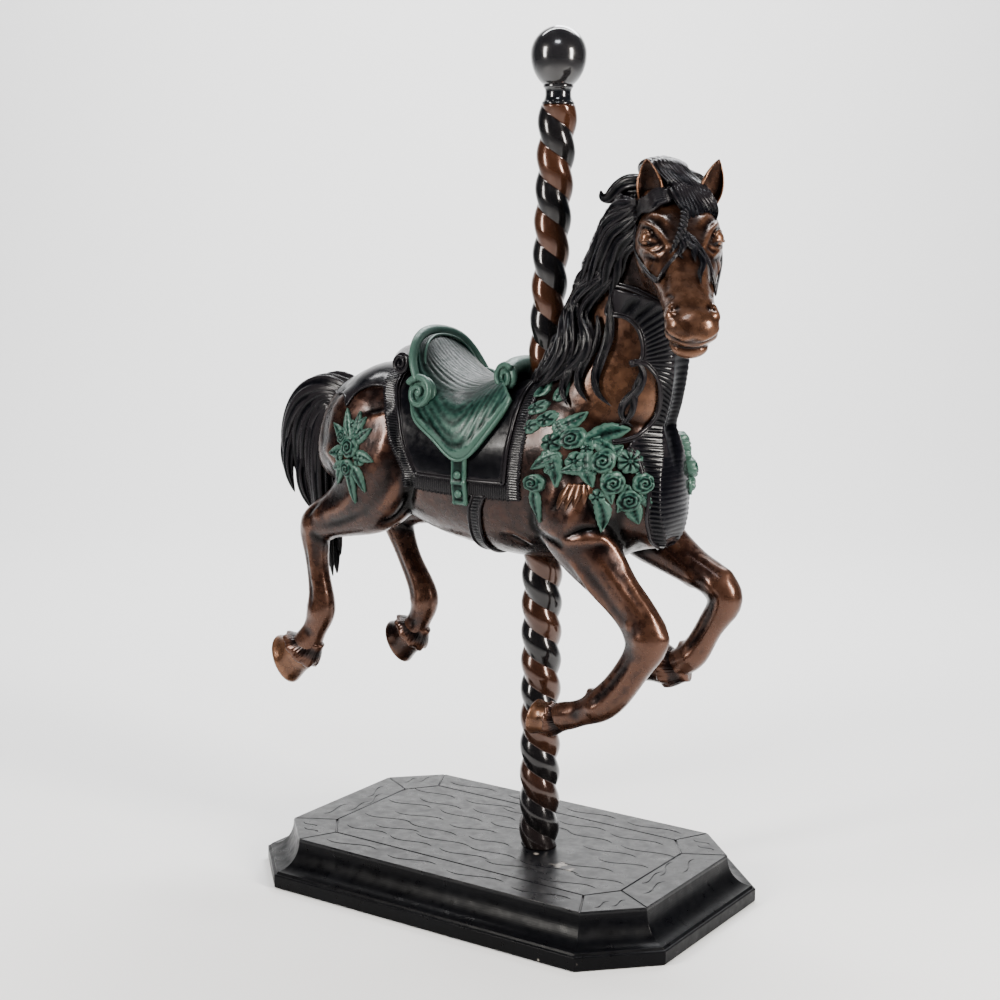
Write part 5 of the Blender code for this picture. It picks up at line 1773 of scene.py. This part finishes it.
def buildSaddleTrim(barrel):
    # the cantle's rim and cord, the pommel's roll, and on each side two scrolls and a strap with two studs
    shapes = []
    rim = np.array(arch(saddle["rim"]))
    outline = circle(16) * (0.0115, 0.008)
    path = smoothRows(rim, 90)
    facing = unit(np.column_stack([0.9 + 0 * path[:, 0], path[:, 1] * -2.0, 0.5 + 0 * path[:, 0]]))
    shapes.append(tube(carried(path, facing, outline)))
    shapes.append(bar(rim * (1, 0.8, 1) + (0.015, 0, -0.01), 0.003, (0, 0, 1), 90, 8))
    for side in (near, far):
        out = (-0.1, side, 0.18)
        shapes.append(disc((-0.137, side * 0.123, 1.08), out, 0.037, 0.01))
        shapes.append(spiral((-0.138, side * 0.135, 1.082), out, 0.035, 1.5, 0.008, 0.003, 2.6, side))
        shapes.append(ball((-0.138, side * 0.138, 1.082), (0.008, 0.004, 0.008), 16))
        out = (-0.25, side, 0.1)
        shapes.append(disc((0.052, side * 0.087, 1.124), out, 0.028, 0.008))
        shapes.append(spiral((0.051, side * 0.096, 1.125), out, 0.0265, 1.5, 0.0068, 0.002, 0.8, -side))
        strap = np.linspace(12, -30, 60)[:, None]
        across = np.linspace(-1, 1, 13)[None]
        buckle = 0.003 * eased(-16.5, -14.5, strap) * eased(-12, -14, strap)
        buckle = buckle + 0.003 * eased(-29.5, -28.5, strap) * eased(-26.5, -28, strap)
        edges = eased(0.62, 0.78, np.abs(across)) * eased(1.0, 0.92, np.abs(across))
        lift = 0.015 + 0.0022 * edges + buckle
        degrees = strap if side == near else 180 - strap
        shapes.append(strip(barrel, saddle["strapX"] + saddle["strapHalf"] * across, degrees, lift, 0.013))
        for place in (-9.0, -22.0):
            degrees = place if side == near else 180 - place
            stud = onBarrel(barrel, saddle["strapX"], degrees, 0.0165)
            shapes.append(ball(stud, (0.0085, 0.006, 0.0085), 20))
    shapes.append(bar(arch(saddle["roll"]), 0.0195, (0, 0, 1), 40, 26))
    return shapes


# Collar: a ribbed band up the chest and throat between scrolled rims

# ridge's millimetres up and bearing, rim's millimetres up and bearing, from the throat down
collarRows = (
    (1318, 97, 1264, 97), (1314, 83, 1263, 91), (1309, 70, 1261, 84), (1303, 57, 1257, 76),
    (1295, 45, 1250, 67), (1285, 34, 1240, 61), (1270, 25, 1226, 56), (1248, 20, 1210, 53),
    (1218, 18, 1194, 50), (1186, 17, 1176, 48), (1150, 14, 1164, 42), (1128, 13, 1147, 34),
    (1104, 12, 1124, 28), (1080, 12, 1094, 25), (1056, 12, 1064, 27), (1036, 13, 1040, 35),
    (1018, 14, 1024, 46), (1000, 15, 1008, 52), (978, 18, 986, 44), (955, 21, 960, 38),
    (925, 23, 928, 33), (895, 23, 898, 31), (865, 21, 868, 31), (835, 16, 838, 27), (804, 9, 806, 18),
    (792, 5, 794, 9),
)
# rims: millimetres up and bearing along the top border, the upper scroll and the lower one
rims = (
    ((1322, 100), (1316, 74), (1304, 55), (1290, 40), (1276, 20), (1270, 0)),
    ((1322, 100), (1296, 97), (1262, 95), (1262, 83),
     (1247, 63), (1218, 53), (1190, 50), (1173, 55), (1170, 62)),
    ((1172, 58), (1170, 48), (1160, 40), (1140, 31), (1112, 26), (1080, 24),
     (1052, 29), (1034, 40), (1022, 54), (1016, 70)),
    ((1004, 54), (982, 44), (955, 39), (925, 34), (895, 32), (865, 32), (835, 28), (806, 19), (792, 8)),
)
collar = {"ribs": 50, "samples": 5, "top": 1.268, "knob": (1.1715, 60.0, 0.0075)}


def buildCollar(chest):
    # across: rim, ridge, flat front, far ridge, far rim; the skin lifts to a keel at each ridge
    count = collar["ribs"] * collar["samples"]
    table = np.array(collarRows) / (1000, 1, 1000, 1)
    rows = smoothRows(np.column_stack([table[:, 0], table[:, 2], 0 * table[:, 0], table]), count)[:, 3:]
    ridge = rows[:, None, 0:2]
    rim = rows[:, None, 2:4]
    c = np.linspace(0, 1, 15)[None, :, None]
    band = rim + (ridge - rim) * c
    phase = np.linspace(0, collar["ribs"], count)[:, None]
    bandLift = 0.0035 + 0.007 * c[..., 0] ** 1.5
    bandLift = bandLift + ribbed(phase, 0.0024) * eased(0.0, 0.08, c[..., 0]) * eased(1.02, 0.94, c[..., 0])
    front = np.linspace(1, 0, 8)[None, 1:, None]
    height = ridge[..., 0:1]
    height = height * front + np.minimum(height, collar["top"]) * (1 - front)
    face = np.concatenate([height, ridge[..., 1:2] * front], axis=2)
    faceLift = 0.0105 - 0.0075 * (1 - front[..., 0] ** 2)
    faceLift = faceLift + ribbed(phase, 0.0007) * eased(1.0, 0.8, front[..., 0])
    half = np.concatenate([band, face], axis=1)
    lift = np.concatenate([bandLift, np.broadcast_to(faceLift, (count, 7))], axis=1)
    place = np.concatenate([half, half[:, -2::-1] * (1, -1)], axis=1)
    lift = np.concatenate([lift, lift[:, -2::-1]], axis=1)
    outer = onChest(chest, place[..., 0], place[..., 1], lift)
    inner = onChest(chest, place[..., 0], place[..., 1], lift - np.minimum(lift + 0.004, 0.012))
    shapes = [slab(outer, inner)]
    for side in (1, -1):
        for line in rims:
            line = [(z / 1000, a) for z, a in line]
            line = smoothRows([(z * 2, math.radians(a) * 0.1, 0, z, a) for z, a in line], 60)[:, 3:]
            path = onChest(chest, line[:, 0], side * line[:, 1], 0.0065)
            out = outOfChest(path)
            shapes.append(cord(path, out, 0.0036, 10))
            second = path + np.cross(out, unit(np.gradient(path, axis=0))) * 0.0058 * side
            shapes.append(cord(second - out * 0.001, out, 0.002))
        z, bearing, lift = collar["knob"]
        shapes.append(ball(onChest(chest, z, side * bearing, lift), (0.0065, 0.0055, 0.0065), 18))
    return joined(shapes)


# Flowers and leaves in relief, laid on the skin maps

# on the shoulder: kind, millimetres up, bearing round the chest, radius in millimetres
shoulderBlooms = (
    ("rose", 1018, 105, 21.5), ("rose", 978, 74, 24), ("rose", 934, 63, 23.5), ("rose", 934, 37, 21),
    ("rose", 898, 48, 22.5), ("daisy", 978, 50, 26), ("lobed", 974, 99, 19.5), ("lobed", 1000, 92, 13),
    ("lobed", 905, 75, 16.5), ("lobed", 1052, 129, 16.5), ("lobed", 1008, 119, 20),
    ("lobed", 1072, 139, 15), ("lobed", 1034, 136, 15), ("rose", 922, 125, 18.5), ("lobed", 960, 40, 12),
    ("lobed", 957, 84, 13), ("lobed", 900, 33, 12), ("lobed", 954, 116, 13.5),
)
# leaves: root's millimetres up and bearing, the tip's, half width in millimetres
shoulderLeaves = (
    (1012, 98, 1040, 52, 22), (1036, 119, 1070, 102, 16.5), (995, 92, 924, 80, 20),
    (900, 74, 834, 68, 17.5), (892, 44, 850, 36, 16), (908, 126, 842, 120, 13),
    (990, 122, 918, 110, 17.5), (1088, 132, 1128, 127, 14), (1092, 145, 1140, 150, 14),
    (1040, 140, 1006, 148, 13), (960, 88, 950, 110, 15), (990, 66, 1008, 58, 13), (960, 70, 890, 62, 15),
    (985, 112, 950, 128, 14), (1020, 90, 985, 62, 15), (930, 50, 872, 56, 14), (1050, 122, 1020, 108, 14),
    (915, 38, 880, 28, 12),
)
# on the haunch the same, with x in millimetres and degrees round the barrel
haunchBlooms = (
    ("rose", -296, 3, 22.5), ("rose", -300, -12, 19), ("rose", -322, 10, 16), ("lobed", -270, -5, 15),
    ("lobed", -330, -4, 15), ("lobed", -278, 14, 13.5), ("lobed", -302, 19, 12),
)
haunchLeaves = (
    (-300, 8, -320, 31, 13.5), (-292, 8, -284, 30, 12), (-310, 4, -356, 20, 14), (-290, 6, -246, 18, 13),
    (-285, -2, -232, -6, 12.5), (-290, -10, -256, -28, 13), (-302, -12, -286, -36, 12.5),
    (-312, -8, -340, -27, 13), (-315, 0, -362, -4, 14), (-296, 10, -264, 26, 11.5),
    (-306, -10, -352, -16, 12),
)
flowers = {"seed": 3, "haunchRadius": 0.165}


def onShoulder(chest, side, z, bearing):
    # a place's own flat coordinates, forward and up in metres, carried round the chest
    radius = looked(chest, np.array(z, float), np.array(bearing, float))

    def lay(p, q, lift):
        return onChest(chest, z + q, side * (bearing - np.degrees(p / radius)), lift)

    return lay


def onHaunch(barrel, side, x, degrees):
    # the same, forward and up, round the barrel
    radius = looked(barrel, np.array(x, float), np.array(degrees, float))

    def lay(p, q, lift):
        points = onBarrel(barrel, x + p, degrees + np.degrees(q / radius), lift)
        return points * (1, side, 1)

    return lay


def bloom(lay, kind, radius, turnBy, rise=0.0):
    # Rings from the middle out. A rose has a spiral bud and six petals that lap over each other round it; a
    # daisy or lobed flower has petals whose height and reach are a cosine's size, round a button. The last
    # ring sinks into the skin
    rho = np.linspace(0.02, 1, 15)[:, None]
    psi = fullTurn(42)[None]
    if kind == "rose":
        lap = np.mod(6 * (psi + turnBy) / tau + 0.7 * rho, 1)
        edge = 0.92 + 0.09 * np.sin(math.pi * lap) ** 0.6
        spin = 2.6 * rho**0.9 - psi / tau
        dome = 0.5 * radius * np.sqrt(1 - (0.92 * rho) ** 2)
        bud = 0.17 * radius * (1 - np.abs(np.cos(math.pi * spin)) ** 1.6) * eased(0.03, 0.14, rho)
        petals = 0.19 * radius * lap**1.3 * np.sin(math.pi * eased(0.5, 1.25, rho))
        height = dome + bud * eased(0.7, 0.56, rho) + petals - 0.1 * radius * eased(0.2, 0.04, rho)
    else:
        count = 9 if kind == "daisy" else 5
        petal = np.abs(np.cos(count * (psi + turnBy) / 2))
        edge = 0.8 + 0.22 * petal**0.5
        height = radius * 0.36 * petal**0.5 * np.sin(math.pi * np.clip(0.15 + 0.8 * rho, 0, 1)) ** 0.7
        middle = np.mod((psi + turnBy) * count / tau + 0.5, 1) - 0.5
        height = height - radius * 0.05 * np.exp(-((middle / 0.06) ** 2)) * eased(0.4, 0.6, rho)
        button = 0.38 * radius * np.sqrt(np.clip(1 - (rho / 0.3) ** 2, 0, 1))
        height = np.where(rho < 0.3, np.maximum(button, 0.1 * radius), height)
    p = radius * rho * edge * np.cos(psi)
    q = radius * rho * edge * np.sin(psi)
    rings = lay(p, q, height + 0.0022 + rise)
    skirt = lay(p[-1:] * 1.02, q[-1:] * 1.02, -0.004 + 0 * p[-1:])
    return tube(np.concatenate([rings, skirt]))


def leaf(lay, p1, q1, half, bow, rise=0.0):
    # Its half width is a sine with a toothed edge; across it a ridge, a vein down the middle and side veins
    t = np.linspace(0.0, 1, 22)[:, None]
    s = np.linspace(-1, 1, 11)[None]
    length = math.hypot(p1, q1)
    c = p1 / length
    n = q1 / length
    teeth = 0.9 + 0.14 * np.abs(np.sin(5.5 * math.pi * t))
    wide = half * np.sin(math.pi * (0.06 + 0.925 * t**0.85)) ** 0.8 * teeth
    along = length * t - 0.25 * np.abs(s) * wide
    aside = wide * s + bow * length * np.sin(math.pi * t)
    height = 0.0026 + rise + 0.0046 * (1 - s**2) ** 0.6 * np.sin(math.pi * (0.1 + 0.8 * t)) ** 0.5
    veins = 0.0007 * np.sin(tau * (5.5 * t - 0.9 * np.abs(s)))
    height = height - 0.0024 * np.exp(-((s / 0.16) ** 2)) + veins
    p = along * c - aside * n
    q = along * n + aside * c
    return slab(lay(p, q, height), lay(p, q, height * 0 - 0.003))


def buildFlowers(chest, barrel):
    # every bloom and leaf on both sides; towards the front the far shoulder's stand out further
    dice = np.random.default_rng(flowers["seed"])
    shapes = []
    for side, ahead, most in ((1, 0, 0.0), (-1, -3, 0.02)):
        for kind, z, bearing, radius in shoulderBlooms:
            place = onShoulder(chest, side, z / 1000 + 0.7 * most, bearing + ahead)
            rise = most * float(eased(110, 60, bearing))
            shapes.append(bloom(place, kind, radius / 1000, dice.uniform(0, 6), rise))
        for low, b0, high, b1, half in shoulderLeaves:
            z0, z1, half = metres((low, high, half))
            place = onShoulder(chest, side, z0 + 0.7 * most, b0 + ahead)
            forward = math.radians(b0 - b1) * float(looked(chest, np.array(z0), np.array(float(b0))))
            rise = 0.6 * most * float(eased(110, 60, b0))
            shapes.append(leaf(place, forward, z1 - z0, half, dice.uniform(-0.08, 0.1), rise))
    for side in (1, -1):
        for kind, x, degrees, radius in haunchBlooms:
            place = onHaunch(barrel, side, x / 1000, degrees)
            shapes.append(bloom(place, kind, radius / 1000, dice.uniform(0, 6)))
        for root, d0, tip, d1, half in haunchLeaves:
            x0, x1, half = metres((root, tip, half))
            place = onHaunch(barrel, side, x0, d0)
            upward = math.radians(d1 - d0) * flowers["haunchRadius"]
            shapes.append(leaf(place, x1 - x0, upward, half, dice.uniform(-0.06, 0.06)))
    return joined(shapes)


def buildTufts(chest):
    # a flat whorl of hair on the breast: five broad locks that hang and splay
    shapes = []
    for side in (1, -1):
        for i in range(5):
            t = i / 4
            drop = 0.048 + 0.01 * math.sin(4 * t + 1)
            heights = 0.928 - drop * np.array((0.0, 0.35, 0.7, 1.0))
            bearings = 101 - 17 * t + np.array((0.0, 1.0, 2.2, 2.8)) * (0.5 - t) * 4
            path = onChest(chest, heights, side * bearings, np.array((-0.003, 0.0, 0.0006, -0.001)))
            out = outOfChest(path)
            shapes.append(lock(path, out.mean(0), 0.01, 0.0034, 3, 0.3, 0.5, 20, 24, 0.3, 0.4))
    return joined(shapes)


# Bridle: cords laid on the face

bridle = {
    "radius": 0.0027,
    "cords": metres((
        ((-2, -71, 4), (45, -80, 6), (86, -83, -16), (140, -77, -14), (190, -66, -4), (226, -56, 8)),
        ((226, -56, 8), (216, -44, 26), (204, -30, 39), (190, -18, 46)),
        ((-2, 71, 4), (45, 80, 6), (86, 83, -16), (140, 77, -14), (200, 63, -10), (248, 52, -4)),
        ((248, 52, -4), (228, 48, 18), (194, 36, 41), (155, 13, 57)),
    )),
    "braid": metres(((86, 4, 67), (124, -2, 62), (156, -14, 55), (180, -25, 47), (198, -36, 36))),
    "strands": metres((
        ((142, 4, 58), (175, 22, 51), (205, 27, 43), (238, 22, 38), (268, 17, 34)),
        ((140, 2, 59), (172, 6, 54), (196, 14, 48), (214, 12, 44)),
        ((144, -2, 58), (168, -4, 54), (190, -12, 48), (206, -10, 44)),
    )),
}


def buildBridle():
    # flat cords with a fine one along each edge, a braid down the face and three loose strands
    shapes = []
    facing = headAxes()[2] + 0.2
    for path in bridle["cords"]:
        points = np.array(path)
        out = unit(points * (0, 1, 0.9) + (0, 0, 0.01)) @ headAxes()
        rows = smoothRows(np.column_stack([headPoint(points), out]), 50)
        outline = circle(10) * (bridle["radius"] * 1.3, bridle["radius"])
        shapes.append(tube(carried(rows[:, :3], rows[:, 3:], outline)))
        edge = np.cross(unit(rows[:, 3:]), unit(np.gradient(rows[:, :3], axis=0))) * 0.0042
        for way in (1, -1):
            shapes.append(cord(rows[:, :3] + way * edge, rows[:, 3:], 0.0014))
    shapes.append(lock(headPoint(bridle["braid"]), facing, 0.009, 0.0066, 2, 0.55, 11.0, 80, 24, 0.35))
    for path in bridle["strands"]:
        shapes.append(headLock(path, 0.0075, 4, 3.0))
    return joined(shapes)


# Hooves: oval tubes between a slanting crown and a slanting sole, under a fringe of fine ribs

# side and distance from the middle, half width, crown's heel and toe, sole's heel and toe (x, z), tint
hooves = (
    (near * 0.092, 0.031, (0.174, 0.453), (0.177, 0.386), (0.138, 0.455), (0.128, 0.382), 0.8),
    (far * 0.092, 0.036, (0.335, 0.563), (0.349, 0.479), (0.279, 0.566), (0.281, 0.481), 0.0),
    (near * 0.098, 0.036, (-0.529, 0.503), (-0.458, 0.44), (-0.563, 0.491), (-0.516, 0.39), 0.85),
    (far * 0.098, 0.034, (-0.361, 0.527), (-0.297, 0.462), (-0.39, 0.51), (-0.341, 0.423), 0.1),
)
# share of the way from crown to sole and size there
hoofSteps = ((-0.5, 0.55), (-0.02, 0.9), (0.02, 0.955), (0.3, 0.965), (0.8, 1.0), (0.95, 1.02), (1.0, 1.01))
fringeSteps = ((-0.78, 0.6), (-0.5, 0.74), (-0.2, 0.98), (0.0, 1.06), (0.1, 1.05), (0.14, 0.99))


def hoofRings(row, share, size, turn):
    # heel and toe each go straight from crown to sole; a ring is an oval between them, the size times as big
    y, wide, *corners, tint = row
    heel, toe, heelSole, toeSole = (np.array((x, y, z)) for x, z in corners)
    top = heel + (heelSole - heel) * share
    bottom = toe + (toeSole - toe) * share
    aside = wide * (1 + 0.16 * share) * size * np.cos(turn)
    middle = (top + bottom)[:, None] / 2
    deep = (size * np.sin(turn))[..., None] * (bottom - top)[:, None] / 2
    return middle + deep + aside[..., None] * np.array((0, 1.0, 0))


def buildHooves():
    # each hoof a tube with a hollow sole, and round its crown a ribbed, ragged fringe
    shapes = []
    turn = fullTurn(60)[None]
    around = fullTurn(152)[None]
    for row in hooves:
        steps = smoothRows([(share, size, 0) for share, size in hoofSteps], 30)
        share = steps[:, 0:1]
        size = steps[:, 1:2] * (1 + 0.003 * np.sin(55 * share) * eased(0.1, 0.2, share) + 0 * turn)
        rings = hoofRings(row, share, size, turn)
        recess = hoofRings(row, np.array(((1.0,), (0.94,))), np.array(((0.88,), (0.84,))) + 0 * turn, turn)
        shapes.append(tube(np.concatenate([rings, recess]), tint=row[-1]))
        steps = smoothRows([(share, size, 0) for share, size in fringeSteps], 12)
        share = steps[:, 0:1]
        ribs = ribbed(19 * around / math.pi + 1.2 * share, 1.0) * eased(-0.72, -0.35, share)
        ragged = 1 + 0.05 * np.sin(9 * around + row[0] * 40) * eased(-0.3, 0.1, share)
        shapes.append(tube(hoofRings(row, share, (steps[:, 1:2] + 0.03 * ribs) * ragged, around)))
    return joined(shapes)


buildCamera()
buildLamps()
buildStage()
buildPlinth()
buildPoles()
buildFinial()
print("base, poles and finial ready")
skin = bronze("brownBronze", bronzeLook), "brown_bronze"
hair = bronze("blackHair", hairLook), "black_bronze"
green = bronze("greenPatina", greenLook), "brown_bronze"


def addToHorse(name, shape, finish, reach=0.002, rounds=8):
    # a worn piece that stands for the CAD horse; a finish is a material and a slot name, which is not used
    # its wear mark also paints shade into the hollows' colour and shine
    addWornAndShaded(name, shape, reach, rounds, *finish, "horse")


bodyShape = buildBody()
barrel = barrelMap(bodyShape["points"])
chest = chestMap(bodyShape["points"])
addToHorse("body", bodyShape, skin, 0.0035, 24)
addToHorse("head", buildHead(), skin, 0.0022, 24)
addToHorse("eyes", buildEyes(), skin)
addToHorse("ears", buildEars(), skin, 0.003)
addToHorse("hooves", buildHooves(), skin, 0.003)
print("body and head ready")
addToHorse("mane", buildMane(), hair)
addToHorse("forelock", buildForelock(), hair)
addToHorse("tail", buildTail(), hair)
addToHorse("tufts", buildTufts(chest), skin)
print("hair ready")
addToHorse("bridle", buildBridle(), hair)
addToHorse("blanket", buildBlanket(barrel), hair)
addToHorse("girth", buildGirth(barrel), hair)
addToHorse("crupper", buildCrupper(barrel), hair)
addToHorse("bolster", buildBolster(), hair)
addToHorse("collar", buildCollar(chest), hair)
addToHorse("saddle", joined(buildSaddle(barrel) + buildSaddleTrim(barrel)), green, rounds=10)
addToHorse("flowers", buildFlowers(chest, barrel), green, 0.0016)
print("harness and flowers ready")
